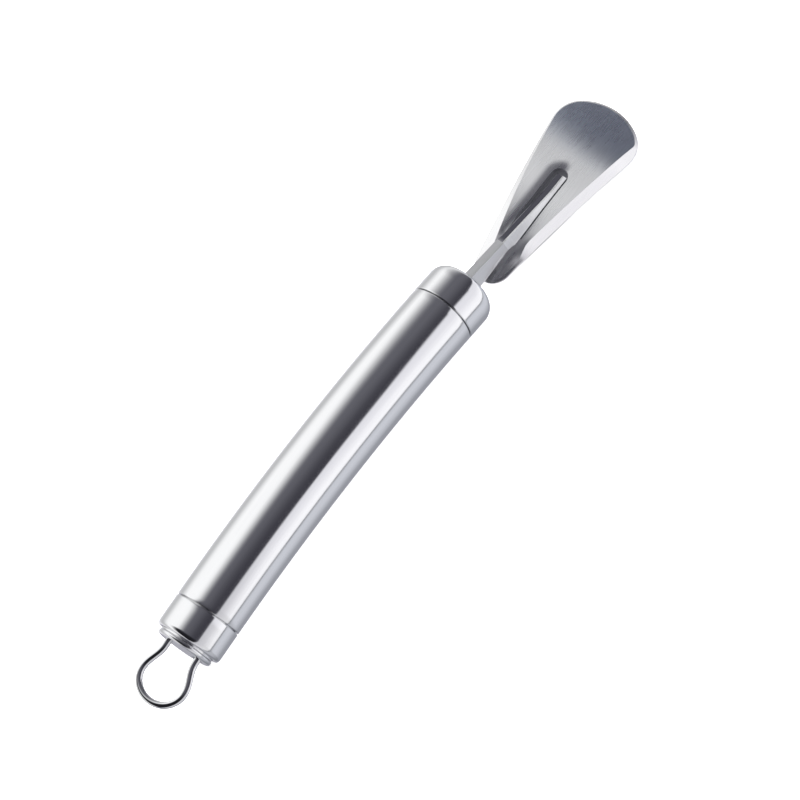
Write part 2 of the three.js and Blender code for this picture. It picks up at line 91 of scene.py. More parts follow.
class Marks(Enum):
    """The way the tool marks run on a steel surface."""

    ALONG = "along"
    ACROSS = "across"
    TURNED = "turned"
    PLAIN = "plain"


class Side(Enum):
    """The two sides of the plane of symmetry."""

    LEFT = 1
    RIGHT = -1


class PlateFinish(IntEnum):
    """The plate's finishes, in the order of its materials."""

    FACE = 0
    RIM = 1
    SLOT = 2


class KnifeFinish(IntEnum):
    """The knife's finishes, in the order of its materials."""

    BAR = 0
    GRIND = 1
    FACE = 2
    FOOT = 3


class Span(IntEnum):
    """Long faces of the knife, counted around its section from the lower right."""

    FOOT = 0
    CHAMFER = 1
    FACE = 2
    LAND = 3
    TOP_END = 9
    ROUND = 10


# Node graphs


def operator(operation: str, swapped: bool = False) -> Callable[["Signal", "Value"], "Signal"]:
    """Makes one arithmetic method for Signal.

    Args:
        operation: name of the Math or Vector Math operation.
        swapped: whether the other operand comes first.

    Returns:
        The method.
    """

    def method(signal: "Signal", other: "Value") -> "Signal":
        """Adds the operation's node.

        Args:
            signal: the signal that the method belongs to.
            other: the other operand.

        Returns:
            The operation's result.
        """
        pair = (other, signal) if swapped else (signal, other)
        wide = any(isinstance(p, tuple) or (isinstance(p, Signal) and p.wide) for p in pair)
        kind = "ShaderNodeVectorMath" if wide else "ShaderNodeMath"
        return signal.graph.node(kind, {"operation": operation}, dict(enumerate(pair)))

    return method


@dataclass(frozen=True)
class Signal:
    """A node's output that can be used in arithmetic."""

    graph: "Graph"
    socket: bpy.types.NodeSocket

    __add__ = operator("ADD")
    __radd__ = operator("ADD", True)
    __sub__ = operator("SUBTRACT")
    __mul__ = operator("MULTIPLY")
    __rmul__ = operator("MULTIPLY", True)
    __truediv__ = operator("DIVIDE")

    @property
    def wide(self) -> bool:
        """Whether the socket carries a vector or a colour."""
        return self.socket.type in {"VECTOR", "RGBA"}

    def __neg__(self) -> "Signal":
        """Negative."""
        return self * -1.0


Value = Union[float, tuple, Signal]


class Graph:
    """A node tree under construction."""

    def __init__(self, tree: bpy.types.NodeTree) -> None:
        """Empties the tree."""
        self.tree = tree
        tree.nodes.clear()

    def feed(self, socket: bpy.types.NodeSocket, value: Value) -> None:
        """Links or sets one input.

        Args:
            socket: the input.
            value: a signal to link, or a number, vector or colour to set.
        """
        if isinstance(value, Signal):
            self.tree.links.new(value.socket, socket)
        elif socket.type == "VECTOR" and not isinstance(value, tuple):
            socket.default_value = (value, value, value)
        elif socket.type == "RGBA":
            socket.default_value = (*value, 1.0)
        else:
            socket.default_value = value

    def node(
        self,
        kind: str,
        settings: Optional[dict] = None,
        inputs: Optional[dict] = None,
        output: Union[int, str] = 0,
    ) -> Signal:
        """Adds a node.

        Args:
            kind: the node's type.
            settings: its properties, set before the inputs.
            inputs: values or links by socket name or number.
            output: the output wanted.

        Returns:
            That output.
        """
        made = self.tree.nodes.new(kind)
        for name, value in (settings or {}).items():
            setattr(made, name, value)
        for key, value in (inputs or {}).items():
            self.feed(made.inputs[key], value)
        return Signal(self, made.outputs[output])

    def end(self, kind: str, surface: Signal) -> None:
        """Adds the output node and feeds it."""
        made = self.tree.nodes.new(kind)
        self.feed(made.inputs["Surface"], surface)

    def mix(self, share: Value, first: Value, second: Value) -> Signal:
        """Blends two colours by a share from 0 to 1."""
        return self.node("ShaderNodeMix", {"data_type": "RGBA"}, {0: share, 6: first, 7: second}, 2)

    def rise(self, value: Value, low: Value, high: Value) -> Signal:
        """Smooth step from 0 at low to 1 at high."""
        ends = {"Value": value, "From Min": low, "From Max": high}
        return self.node("ShaderNodeMapRange", {"interpolation_type": "SMOOTHSTEP"}, ends)

    def noise(self, place: Value, detail: float = 2.0, roughness: float = 0.5) -> Signal:
        """Soft noise with features about one unit across."""
        inputs = {"Vector": place, "Scale": 1.0, "Detail": detail, "Roughness": roughness}
        return self.node("ShaderNodeTexNoise", None, inputs)

    def split(self, vector: Signal) -> tuple[Signal, Signal, Signal]:
        """The three parts of a vector."""
        parts = self.node("ShaderNodeSeparateXYZ", None, {0: vector}).socket.node
        return tuple(Signal(self, out) for out in parts.outputs)

    def join(self, x: Value, y: Value, z: Value) -> Signal:
        """A vector from three parts."""
        return self.node("ShaderNodeCombineXYZ", None, {"X": x, "Y": y, "Z": z})


# Finishes


@dataclass(frozen=True)
class Steel:
    """One steel surface: its colour, its gloss and the marks of its making.

    Lengths are in millimetres. fineness is the number of marks in a millimetre, stretch how many times
    longer than wide a mark is, depth how deep it is, shade and swing how far colour and roughness vary.
    line_share is the marks' share in the change of colour, and soft clouds have the rest. Past
    painted_reflection_from along the piece, where that is set, the steel takes on painted_reflection_cast
    over a length of painted_reflection_run: a bluish cast painted in as a reflection, standing in for the
    cool dim light that the plate's tip mirrors.
    """

    name: str
    tint: Colour = (0.77, 0.775, 0.785)
    roughness: float = 0.1
    swing: float = 0.04
    marks: Marks = Marks.ALONG
    fineness: float = 2.5
    stretch: float = 50.0
    depth: float = 0.001
    shade: float = 0.06
    anisotropy: float = 0.0
    painted_reflection_from: float = 0.0
    painted_reflection_run: float = 12.0
    painted_reflection_cast: Colour = (0.9, 0.97, 1.08)
    cloud_fineness: float = 0.16
    line_share: float = 0.8

    def _laid(self, graph: Graph, place: Signal) -> Signal:
        """Stretches the surface's coordinates along the marks.

        Args:
            graph: the material's graph.
            place: coordinates in millimetres along the piece, across it and up.

        Returns:
            Coordinates in which a mark is about one unit across.
        """
        fine, long = self.fineness, self.fineness / self.stretch
        if self.marks is Marks.TURNED:
            x, y, z = graph.split(place)
            radius = graph.node("ShaderNodeMath", {"operation": "SQRT"}, {0: y * y + z * z})
            return graph.join(radius * fine, x * fine, y * long)
        if self.marks is Marks.ALONG:
            return place * (long, fine, fine)
        if self.marks is Marks.ACROSS:
            return place * (fine, long, long)
        return place * fine

    def make(self, carried: bool = True) -> bpy.types.Material:
        """Makes the material.

        Args:
            carried: whether the mesh carries its own grain coordinates.

        Returns:
            The new material.
        """
        material = bpy.data.materials.new(self.name)
        material.use_nodes = True
        graph = Graph(material.node_tree)
        if carried:
            place = graph.node("ShaderNodeAttribute", {"attribute_name": "grain"}, None, "Vector")
        else:
            place = graph.node("ShaderNodeTexCoord", None, None, "Object") * MM_PER_M
        lines = graph.noise(self._laid(graph, place), 3.0, 0.6)
        cloud = graph.noise(place * self.cloud_fineness)
        dark = tuple(part * (1.0 - self.shade) for part in self.tint)
        light = tuple(min(1.0, part * (1.0 + self.shade)) for part in self.tint)
        tint = graph.mix(lines * self.line_share + cloud * (1 - self.line_share), dark, light)
        # Painted reflection: past painted_reflection_from the colour takes on a bluish cast for the cool
        # light the tip mirrors.
        if self.painted_reflection_from:
            along, _, _ = graph.split(place)
            painted_reflection_share = graph.rise(along, self.painted_reflection_from, self.painted_reflection_from + self.painted_reflection_run)
            tint = graph.mix(painted_reflection_share, tint, tint * self.painted_reflection_cast)
        gloss = (lines - 0.5) * self.swing + (cloud - 0.5) * self.swing + self.roughness
        bump = graph.node("ShaderNodeBump", None, {
            "Strength": 1.0, "Distance": self.depth / MM_PER_M, "Height": lines,
        })
        surface = graph.node("ShaderNodeBsdfPrincipled", None, {
            "Base Color": tint, "Metallic": 1.0, "Roughness": gloss,
            "Anisotropic": self.anisotropy, "Normal": bump,
        })
        graph.end("ShaderNodeOutputMaterial", surface)
        return material


HANDLE_STEEL = Steel("satin_handle_steel", roughness=0.13, fineness=3.0, stretch=80, depth=0.0012)
CAP_STEEL = Steel("satin_cap_steel", roughness=0.12, fineness=3.0, stretch=40, depth=0.0012)
PLUG_STEEL = Steel("turned_plug_steel", roughness=0.2, marks=Marks.TURNED, fineness=4.0, stretch=60)
INNER_STEEL = Steel("machined_inner_steel", (0.6, 0.61, 0.63), 0.34, marks=Marks.PLAIN, fineness=1.5)
WIRE_CHROME = Steel("polished_loop_chrome", (0.74, 0.745, 0.755), 0.05, 0.03, fineness=2.0, depth=0.0006)
# painted_reflection_from gives the plate's last stretch towards the tip a painted bluish reflection.
PLATE_STEEL = Steel(
    "brushed_plate_steel", roughness=0.28, swing=0.08, fineness=2.6, stretch=110, depth=0.0003,
    shade=0.22, anisotropy=0.7, painted_reflection_from=99.0,
)
RIM_STEEL = Steel("ground_rim_steel", (0.82, 0.82, 0.825), 0.26, fineness=3.0, stretch=30, depth=0.002)
# Near-black tint on the slot's walls and the knife's foot: painted shade where they face the shadow under the
# plate.
SLOT_SHADE_STEEL = Steel("painted_shade_slot_steel", (0.12, 0.12, 0.13), 0.45, marks=Marks.PLAIN, fineness=3.0)
BAR_STEEL = Steel(
    "satin_bar_steel", (0.66, 0.665, 0.675), 0.36, fineness=2.5, stretch=30, depth=0.002, shade=0.08,
)
GRIND_STEEL = Steel("polished_grind_steel", (0.5, 0.5, 0.53), 0.16, fineness=3.0, stretch=30, depth=0.001)
FACE_STEEL = Steel(
    "cross_ground_knife_steel", roughness=0.34, marks=Marks.ACROSS, fineness=2.6, stretch=18,
    depth=0.004, shade=0.16,
)
WELD_STEEL = Steel("dressed_weld_steel", roughness=0.5, marks=Marks.PLAIN, fineness=1.2, depth=0.006)


# Axes and meshes


@dataclass
class Datum:
    """The tool's own axes, with +X from the middle of the arched handle to the plate, and shared sizes."""

    tube_radius: float = 9.2
    tube_length: float = 97.2
    arch_radius: float = 359.0
    seam_gap: float = 0.24
    seam_round: float = 0.3
    nose_length: float = 11.2
    nose_crown: float = 0.6
    shift: Vector = field(default_factory=Vector)

    @classmethod
    def from_frame(cls) -> "Datum":
        """Finds the axes from the place of the handle tube.

        Returns:
            The axes.
        """
        low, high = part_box("handle_tube")
        datum = cls()
        middle, top = (low.x + high.x) / 2 * MM_PER_M, high.z * MM_PER_M
        datum.shift = Vector((middle, 0.0, top - datum.tube_radius))
        return datum

    def arch(self, spot: Vector) -> Vector:
        """Bends a straight point along the handle's arch."""
        turn, radius = spot.x / self.arch_radius, self.arch_radius + spot.z
        return Vector((radius * math.sin(turn), spot.y, radius * math.cos(turn) - self.arch_radius))

    def _from_seam(self, spot: Vector, way: int) -> Vector:
        """Places a point measured outward from one of the tube's seams.

        Args:
            spot: the point.
            way: 1 for the front seam, -1 for the rear one.

        Returns:
            The point in the tool's axes.
        """
        half = self.tube_length / 2
        c, s = math.cos(half / self.arch_radius), math.sin(half / self.arch_radius)
        start = self.arch(Vector((way * half, 0, 0)))
        return start + Vector((way * (spot.x * c + spot.z * s), spot.y, spot.z * c - spot.x * s))

    def front(self, spot: Vector) -> Vector:
        """Places a point measured forward from the front seam."""
        return self._from_seam(spot, 1)

    def rear(self, spot: Vector) -> Vector:
        """Places a point measured back from the rear seam."""
        return self._from_seam(spot, -1)

    def straight(self, spot: Vector) -> Vector:
        """Leaves a point where it is."""
        return spot

    def metres(self, spot: Vector) -> Vector:
        """Puts a point of the tool into the shared frame."""
        return (spot + self.shift) / MM_PER_M


@dataclass
class Shape:
    """The points and faces of one piece while it is made.

    place maps the piece's own axes to the tool's, finish is the finish of the faces to come, and edges
    of sharp degrees or more are sharp where the points have no shading directions of their own.
    """

    datum: Datum
    place: Place
    finish: int = 0
    sharp: float = 28.0
    probe: float = 0.01
    spots: list[Vector] = field(default_factory=list)
    normals: list[Optional[Vector]] = field(default_factory=list)
    faces: list[tuple[int, ...]] = field(default_factory=list)
    finishes: list[int] = field(default_factory=list)

    def point(self, x: float, y: float, z: float, normal: Optional[Vector] = None) -> int:
        """Adds a point.

        Args:
            x: distance along the piece.
            y: distance to the left.
            z: height.
            normal: shading direction, where the shape's own isn't used.

        Returns:
            The point's number.
        """
        self.spots.append(Vector((x, y, z)))
        self.normals.append(normal)
        return len(self.spots) - 1

    def face(self, *corners: int) -> None:
        """Adds a face in the current finish."""
        self.faces.append(corners)
        self.finishes.append(int(self.finish))

    def strip(self, first: Sequence[int], second: Sequence[int]) -> None:
        """Joins two rings of as many points with faces."""
        for i, j in enumerate([*range(1, len(first)), 0]):
            self.face(first[i], first[j], second[j], second[i])

    def turn(self, rows: Sequence[tuple[float, ...]], steps: int) -> None:
        """Turns a profile about the X axis.

        Args:
            rows: distance along and radius of each ring and, in a shape with its own shading directions,
                that direction's parts along and outward.
            steps: the number of faces around.
        """
        last: list[int] = []
        for along, radius, *way in rows:
            ring = []
            for i in range(steps):
                angle = 2 * math.pi * i / steps
                s, c = math.sin(angle), math.cos(angle)
                normal = Vector((way[0], way[1] * s, way[1] * c)).normalized() if way else None
                ring.append(self.point(along, radius * s, radius * c, normal))
            if last:
                self.strip(last, ring)
            last = ring

    def fill(self, loops: Sequence[Sequence[int]], hole: Region, plane: str) -> None:
        """Fills a flat-lying region with triangles.

        Args:
            loops: rings of point numbers, the outer one first.
            hole: tells whether a place is outside the region.
            plane: the two axes that the region lies along.
        """
        keys = [number for loop in loops for number in loop]
        flat = [Vector(getattr(self.spots[number], plane)) for number in keys]
        edges, start = [], 0
        for loop in loops:
            if len(loop) > 2:
                edges += [(start + i, start + (i + 1) % len(loop)) for i in range(len(loop))]
            start += len(loop)
        _, _, triangles, origins, _, _ = delaunay_2d_cdt(flat, edges, [], 0, 1e-7)
        for triangle in triangles:
            numbers = [origins[corner][0] for corner in triangle]
            middle = sum((flat[n] for n in numbers), Vector((0, 0))) / 3
            if not hole(middle.x, middle.y):
                self.face(*(keys[n] for n in numbers))

    def _facing(self) -> list[tuple[int, ...]]:
        """Turns each face to the side its shading directions point to.

        Returns:
            The faces' corners in their new order.
        """
        laid = [self.place(spot) for spot in self.spots]
        toward = [self._toward(number) for number in range(len(laid))]
        turned = []
        for corners in self.faces:
            a, b, c = (laid[n] for n in corners[:3])
            wanted = sum((toward[n] for n in corners), Vector())
            turned.append(corners if (b - a).cross(c - b).dot(wanted) >= 0 else corners[::-1])
        return turned

    def _toward(self, number: int) -> Vector:
        """A point's shading direction in the tool's axes."""
        spot = self.spots[number]
        return (self.place(spot + self.normals[number] * self.probe) - self.place(spot)).normalized()

    def piece(self, name: str, finishes: Sequence[Steel]) -> bpy.types.Object:
        """Makes the object.

        Args:
            name: the piece's name.
            finishes: its steels, in the order of the face finishes.

        Returns:
            The object, in place in the shared frame.
        """
        own = all(normal is not None for normal in self.normals)
        mesh = bpy.data.meshes.new(name)
        spots = [self.datum.metres(self.place(spot)) for spot in self.spots]
        mesh.from_pydata(spots, [], self._facing() if own else self.faces)
        grain = mesh.attributes.new("grain", "FLOAT_VECTOR", "POINT")
        grain.data.foreach_set("vector", [part for spot in self.spots for part in spot])
        mesh.polygons.foreach_set("material_index", self.finishes)
        mesh.polygons.foreach_set("use_smooth", [True] * len(self.faces))
        for steel in finishes:
            mesh.materials.append(steel.make())
        if own:
            mesh.normals_split_custom_set_from_vertices([self._toward(n) for n in range(len(spots))])
        else:
            self._close(mesh)
            mesh.set_sharp_from_angle(angle=math.radians(self.sharp))
        # Anisotropy follows the texture space, and a far middle gives it one direction everywhere
        mesh.use_auto_texspace = False
        mesh.texspace_location = (10.0, 0.0, 0.0)
        mesh.texspace_size = (1.0, 1.0, 1.0)
        made = bpy.data.objects.new(name, mesh)
        bpy.context.scene.collection.objects.link(made)
        return made

    @staticmethod
    def _close(mesh: bpy.types.Mesh) -> None:
        """Turns all faces outward.

        Args:
            mesh: a mesh without openings.
        """
        work = bmesh.new()
        work.from_mesh(mesh)
        bmesh.ops.recalc_face_normals(work, faces=work.faces)
        work.to_mesh(mesh)
        work.free()


def settle(piece: bpy.types.Object, body: Body, slot: Slot, *nodes: str) -> None:
    """Puts a piece on its body and hides the solids it stands for.

    Args:
        piece: the finished object.
        body: the body it moves with.
        slot: the record's material slot; not used.
        nodes: the names of the solids.
    """
    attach(piece, body.value)
    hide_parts(*nodes)
    LOG.info("%s: %d faces on %s", piece.name, len(piece.data.polygons), body.value)


def arc(middle: Pair, radius: Pair, start: float, end: float, steps: int) -> list[Pair]:
    """Points of an ellipse's arc.

    Args:
        middle: its centre.
        radius: its two half axes.
        start: first angle in degrees.
        end: last angle in degrees.
        steps: the number of spans.

    Returns:
        Pairs of coordinates, both ends among them.
    """
    points = []
    for i in range(steps + 1):
        turn = math.radians(start + (end - start) * i / steps)
        points.append((middle[0] + radius[0] * math.cos(turn), middle[1] + radius[1] * math.sin(turn)))
    return points


def ease(value: float, low: float, high: float) -> float:
    """Smooth step from 0 at low to 1 at high."""
    share = min(1.0, max(0.0, (value - low) / (high - low)))
    return share * share * (3 - 2 * share)


def pulled(points: Sequence[Union[Vector, Pair]], steps: int) -> list[Vector]:
    """Points of a smooth curve drawn by control points, its first point left out.

    Args:
        points: the control points.
        steps: the number of spans.

    Returns:
        The curve's points.
    """
    degree = len(points) - 1
    row = []
    for i in range(1, steps + 1):
        t = i / steps
        shares = [math.comb(degree, k) * t ** k * (1 - t) ** (degree - k) for k in range(degree + 1)]
        row.append(sum((Vector(p) * share for p, share in zip(points, shares)), Vector((0, 0))))
    return row


def rounded(middle: Pair, radius: float, start: float, end: float, steps: int) -> list[tuple[float, ...]]:
    """Rows of a turned profile along a circle's arc.

    Args:
        middle: the circle's centre.
        radius: its radius.
        start: first angle in degrees.
        end: last angle in degrees.
        steps: the number of spans.

    Returns:
        Places along and outward, each with its direction along and outward.
    """
    spots = arc(middle, (radius, radius), start, end, steps)
    return [(a, r, (a - middle[0]) / radius, (r - middle[1]) / radius) for a, r in spots]


# Handle


@dataclass
class Handle:
    """The arched tube and the rounded cap at its front."""

    datum: Datum
    wall: float = 0.9
    spigot_room: float = 0.2
    spigot_length: float = 6.0
    shoulder: float = 4.4
    nose_sheen: float = 0.3
    crown_sheen: float = 0.2
    pinhole: float = 1e-3
    steps: int = 144
    outer_spans: int = 60
    inner_spans: int = 12
    crown_spans: int = 8

    def tube(self) -> bpy.types.Object:
        """Builds the tube with its two rounded ends.

        Returns:
            The piece.
        """
        radius, round_ = self.datum.tube_radius, self.datum.seam_round
        half = self.datum.tube_length / 2 - self.datum.seam_gap / 2
        inside = radius - self.wall
        middle = half - round_
        profile = [
            (-half, inside),
            *arc((-middle, radius - round_), (round_, round_), 180, 90, 4),
            *[(-middle + 2 * middle * i / self.outer_spans, radius) for i in range(1, self.outer_spans)],
            *arc((middle, radius - round_), (round_, round_), 90, 0, 4),
            *[(half - 2 * half * i / self.inner_spans, inside) for i in range(self.inner_spans + 1)],
        ]
        shape = Shape(self.datum, self.datum.arch)
        shape.turn(profile, self.steps)
        return shape.piece("handle_tube_shell", [HANDLE_STEEL])

    def front_cap(self) -> bpy.types.Object:
        """Builds the front cap with its rounded nose.

        Returns:
            The piece.
        """
        radius, round_ = self.datum.tube_radius, self.datum.seam_round
        rim, back = self.datum.seam_gap / 2, -self.spigot_length
        spigot = radius - self.wall - self.spigot_room
        length, crown = self.datum.nose_length, self.datum.nose_crown
        face = radius - self.shoulder
        shape = Shape(self.datum, self.datum.front)
        shape.turn([(back, self.pinhole, -1, 0), (back, spigot, -1, 0)], self.steps)
        shape.turn([(back, spigot, 0, 1), (rim, spigot, 0, 1)], self.steps)
        rows = [(rim, spigot, -1, 0), *rounded((rim + round_, radius - round_), round_, 180, 90, 6)]
        middle = (length - crown - self.shoulder, face)
        for along, high, ahead, outward in rounded(middle, self.shoulder, 90, 0, 24):
            ahead *= self.nose_sheen + (1 - self.nose_sheen) * ahead ** 4
            rows.append((along, high, ahead, outward))
        for i in range(1, self.crown_spans):
            share = 1 - i / self.crown_spans
            rows.append((length - crown * share ** 2, face * share, 1, self.crown_sheen * share))
        rows.append((length, self.pinhole, 1, 0))
        shape.turn(rows, self.steps)
        return shape.piece("front_cap_shell", [CAP_STEEL])

    def build(self) -> None:
        """Builds both pieces and puts them on the handle."""
        settle(self.tube(), Body.HANDLE, Slot.HANDLE, "handle_tube")
        settle(self.front_cap(), Body.HANDLE, Slot.CAP, "front_cap")


# Rear end


@dataclass
class RearEnd:
    """The rear cap, the end plug with its two leg holes, and the wire loop."""

    datum: Datum
    cap_length: float = 8.9
    barrel_drop: float = 0.7
    soft_end: float = 0.12
    straight_rings: Pair = (2.0, 4.5)
    spigot: float = 8.1
    spigot_length: float = 3.0
    bore_room: float = 0.15
    plug_radius: float = 7.8
    bead: float = 1.7
    groove: float = 0.3
    groove_depth: float = 0.25
    plate: float = 1.2
    dome: float = 0.3
    face_rings: tuple[float, ...] = (1.0, 0.8, 0.5, 0.2)
    hole_lip: float = 0.12
    hole_clear: float = 0.3
    plug_depth: float = 4.2
    plug_wall: float = 0.8
    wire: float = 0.95
    wire_steps: int = 28
    flat_tilt: float = 21.5
    flat_share: float = 0.72
    foot_length: float = 1.72
    foot_room: float = 0.2
    foot_bend: float = 1.05
    leg_side_room: float = 0.35
    swing: float = 15.0
    droop: float = 5.6
    loop_width: float = 13.6
    loop_widest: float = 9.2
    loop_reach: float = 15.2
    leg_straight: float = 1.2
    leg_pull: float = 0.4
    bow_pull: float = 0.55
    steps: int = 144

    def __post_init__(self) -> None:
        """Works out the places that the other sizes give."""
        self.end_face = self.cap_length + self.bead + self.groove
        self.hinge = self.end_face - self.plate - self.foot_room - self.wire
        self.cavity = self.plug_radius - self.groove_depth - self.plug_wall
        self.foot_end = math.sqrt((self.cavity - self.foot_room) ** 2 - self.wire ** 2)
        self.leg = self.foot_end - self.foot_length
        swing = math.radians(self.swing)
        swept = (self.end_face - self.hinge) * math.tan(swing) + self.wire / math.cos(swing)
        self.hole_width = self.wire + self.leg_side_room
        self.hole_rise = swept + self.foot_room - self.hole_width

    def cap(self) -> bpy.types.Object:
        """Builds the rear cap, a short barrel.

        Returns:
            The piece.
        """
        radius, round_ = self.datum.tube_radius, self.datum.seam_round
        rim, drop, soft = self.datum.seam_gap / 2, self.barrel_drop, self.soft_end
        end, back = self.cap_length, -self.spigot_length
        bore = self.plug_radius - self.groove_depth + self.bore_room
        profile = [
            (back, bore),
            (back, self.spigot),
            (rim, self.spigot),
            *arc((rim + round_, radius - round_), (round_, round_), 180, 90, 4),
            *[(rim + round_ + ring, radius) for ring in self.straight_rings],
            *arc((end - 2 * drop, radius - drop), (2 * drop, drop), 90, 8, 10),
            *arc((end - soft, radius - drop - soft), (soft, soft), 70, 0, 3),
            (end, bore),
            (back, bore),
        ]
        shape = Shape(self.datum, self.datum.rear)
        shape.turn(profile, self.steps)
        return shape.piece("rear_cap_shell", [CAP_STEEL])

    def _in_hole(self, y: float, z: float) -> bool:
        """Whether a place on the end face is in a leg hole."""
        over = max(0.0, abs(z) - self.hole_rise)
        return math.hypot(abs(y) - self.leg, over) < self.hole_width

    def _near_hole(self, y: float, z: float) -> bool:
        """Whether a place is in a leg hole or close to its edge."""
        steps = (-self.hole_clear, 0, self.hole_clear)
        return any(self._in_hole(y + dy, z + dz) for dy in steps for dz in steps)

    def _hole_ring(
        self, shape: Shape, side: Side, along: Callable[[float], float], grow: float, normal: Place
    ) -> list[int]:
        """Adds the outline of a leg hole.

        Args:
            shape: the plug's shape.
            side: the hole's side.
            along: distance along the axis at a given radius.
            grow: how far the outline lies outside the hole.
            normal: shading direction, told the outward direction of the outline.

        Returns:
            The outline's point numbers.
        """
        rise, radius = self.hole_rise, (self.hole_width + grow, self.hole_width + grow)
        ring = []
        for across, up in [*arc((0, rise), radius, 0, 180, 14), *arc((0, -rise), radius, 180, 360, 14)]:
            y = side.value * self.leg + across
            away = Vector((0, across, up - math.copysign(min(abs(up), rise), up))).normalized()
            ring.append(shape.point(along(math.hypot(y, up)), y, up, normal(away)))
        return ring

    def _face(self, shape: Shape) -> None:
        """Adds the domed end face with its leg holes.

        Args:
            shape: the plug's shape.
        """
        rim = self.plug_radius - self.bead / 2
        back = self.end_face - self.plate

        def along(radius: float) -> float:
            """Place of the dome along the axis."""
            return self.end_face + self.dome * (1 - (radius / rim) ** 2)

        rings = []
        for share in self.face_rings:
            radius, ring = rim * share, []
            slope = 2 * self.dome * radius / rim ** 2
            for i in range(self.steps):
                s, c = math.sin(2 * math.pi * i / self.steps), math.cos(2 * math.pi * i / self.steps)
                if share == 1.0 or not self._near_hole(radius * s, radius * c):
                    normal = Vector((1, slope * s, slope * c)).normalized()
                    ring.append(shape.point(along(radius), radius * s, radius * c, normal))
            rings.append(ring)
        holes = []
        for side in Side:
            lip = self._hole_ring(shape, side, along, self.hole_lip, lambda away: Vector((1, 0, 0)))
            mouth = self._hole_ring(shape, side, lambda r: along(r) - self.hole_lip, 0.0, lambda away: -away)
            base = self._hole_ring(shape, side, lambda r: back, 0.0, lambda away: -away)
            shape.strip(lip, mouth)
            shape.strip(mouth, base)
            holes.append(lip)
        loose = [[number] for ring in rings[1:] for number in ring]
        shape.fill([rings[0], *holes, *loose], self._in_hole, "yz")

    def plug(self) -> bpy.types.Object:
        """Builds the end plug: the bead, the domed face and the spigot behind them.

        Returns:
            The piece.
        """
        shape = Shape(self.datum, self.datum.rear)
        spigot, cavity = self.plug_radius - self.groove_depth, self.cavity
        inner = self.cap_length - self.plug_depth
        half = self.bead / 2
        centre = (self.end_face - half, self.plug_radius - half)
        start = 180 - math.degrees(math.asin(1 - self.groove_depth / half))
        shape.turn([
            (inner, spigot, 0, 1),
            (centre[0] + half * math.cos(math.radians(start)), spigot, 0, 1),
            *rounded(centre, half, start, 0, 20),
        ], self.steps)
        shape.turn([(inner, spigot, -1, 0), (inner, cavity, -1, 0)], self.steps)
        shape.turn([(inner, cavity, 0, -1), (self.end_face - self.plate, cavity, 0, -1)], self.steps)
        self._face(shape)
        return shape.piece("end_plug_turned", [PLUG_STEEL])

    def _centre_line(self) -> list[Vector]:
        """Draws the wire's centre line from one foot to the other.

        Returns:
            Places along and across.
        """
        leg, hinge, end = self.leg, self.hinge, self.end_face + self.loop_reach
        widest, half = self.end_face + self.loop_widest, self.loop_width / 2
        straight = self.end_face + self.leg_straight
        pull = (widest - straight) * self.leg_pull
        bend = [(hinge, leg + self.foot_bend), (hinge, leg), (hinge + self.foot_bend, leg)]
        side = [(straight, leg), (straight + pull, leg), (widest - pull, half), (widest, half)]
        bow = [
            (widest, half), (widest + self.bow_pull * (end - widest), half),
            (end, self.bow_pull * half), (end, 0),
        ]
        path = [Vector((hinge, self.foot_end)), Vector(bend[0]), *pulled(bend, 6)]
        path += [Vector(side[0]), *pulled(side, 22), *pulled(bow, 26)]
        return path + [Vector((spot.x, -spot.y)) for spot in reversed(path[:-1])]

    def loop(self) -> bpy.types.Object:
        """Builds the bent wire.

        Returns:
            The piece.
        """
        c, s = math.cos(math.radians(self.droop)), math.sin(math.radians(self.droop))

        def drooped(spot: Vector) -> Vector:
            """Turns a point down about the hinge."""
            ahead, up = spot.x - self.hinge, spot.z
            return self.datum.rear(Vector((self.hinge + ahead * c + up * s, spot.y, up * c - ahead * s)))

        shape = Shape(self.datum, drooped)
        path = self._centre_line()
        rings = []
        for i, spot in enumerate(path):
            ahead = (path[min(i + 1, len(path) - 1)] - path[max(i - 1, 0)]).normalized()
            rings.append(self._wire_ring(shape, spot.to_3d(), Vector((-ahead.y, ahead.x, 0))))
        for end, inner in ((0, 1), (-1, -2)):
            away = (path[end] - path[inner]).normalized().to_3d()
            shape.face(*(shape.point(*shape.spots[number], away) for number in rings[end]))
        for first, second in zip(rings, rings[1:]):
            shape.strip(first, second)
        return shape.piece("hanging_loop_wire", [WIRE_CHROME])

    def _wire_ring(self, shape: Shape, spot: Vector, side: Vector) -> list[int]:
        """Adds one ring of the wire, shaded as if it were a little flat.

        Args:
            shape: the wire's shape.
            spot: the ring's centre.
            side: sideways direction in the wire's plane.

        Returns:
            The ring's point numbers.
        """
        tilt = math.radians(self.flat_tilt)
        flat = math.atan2(math.cos(tilt), -side.y * math.sin(tilt))
        broad = side * math.cos(flat) + Vector((0, 0, math.sin(flat)))
        narrow = side * -math.sin(flat) + Vector((0, 0, math.cos(flat)))
        ring = []
        for i in range(self.wire_steps):
            turn = 2 * math.pi * i / self.wire_steps
            out = side * math.cos(turn) + Vector((0, 0, math.sin(turn)))
            normal = broad * out.dot(broad) + narrow * out.dot(narrow) * self.flat_share
            ring.append(shape.point(*(spot + out * self.wire), normal.normalized()))
        return ring

    def build(self) -> None:
        """Builds the three pieces and puts them on their bodies."""
        settle(self.cap(), Body.HANDLE, Slot.CAP, "rear_cap")
        settle(self.plug(), Body.HANDLE, Slot.PLUG, "end_plug")
        settle(self.loop(), Body.LOOP, Slot.LOOP, "hanging_loop")


# Blade


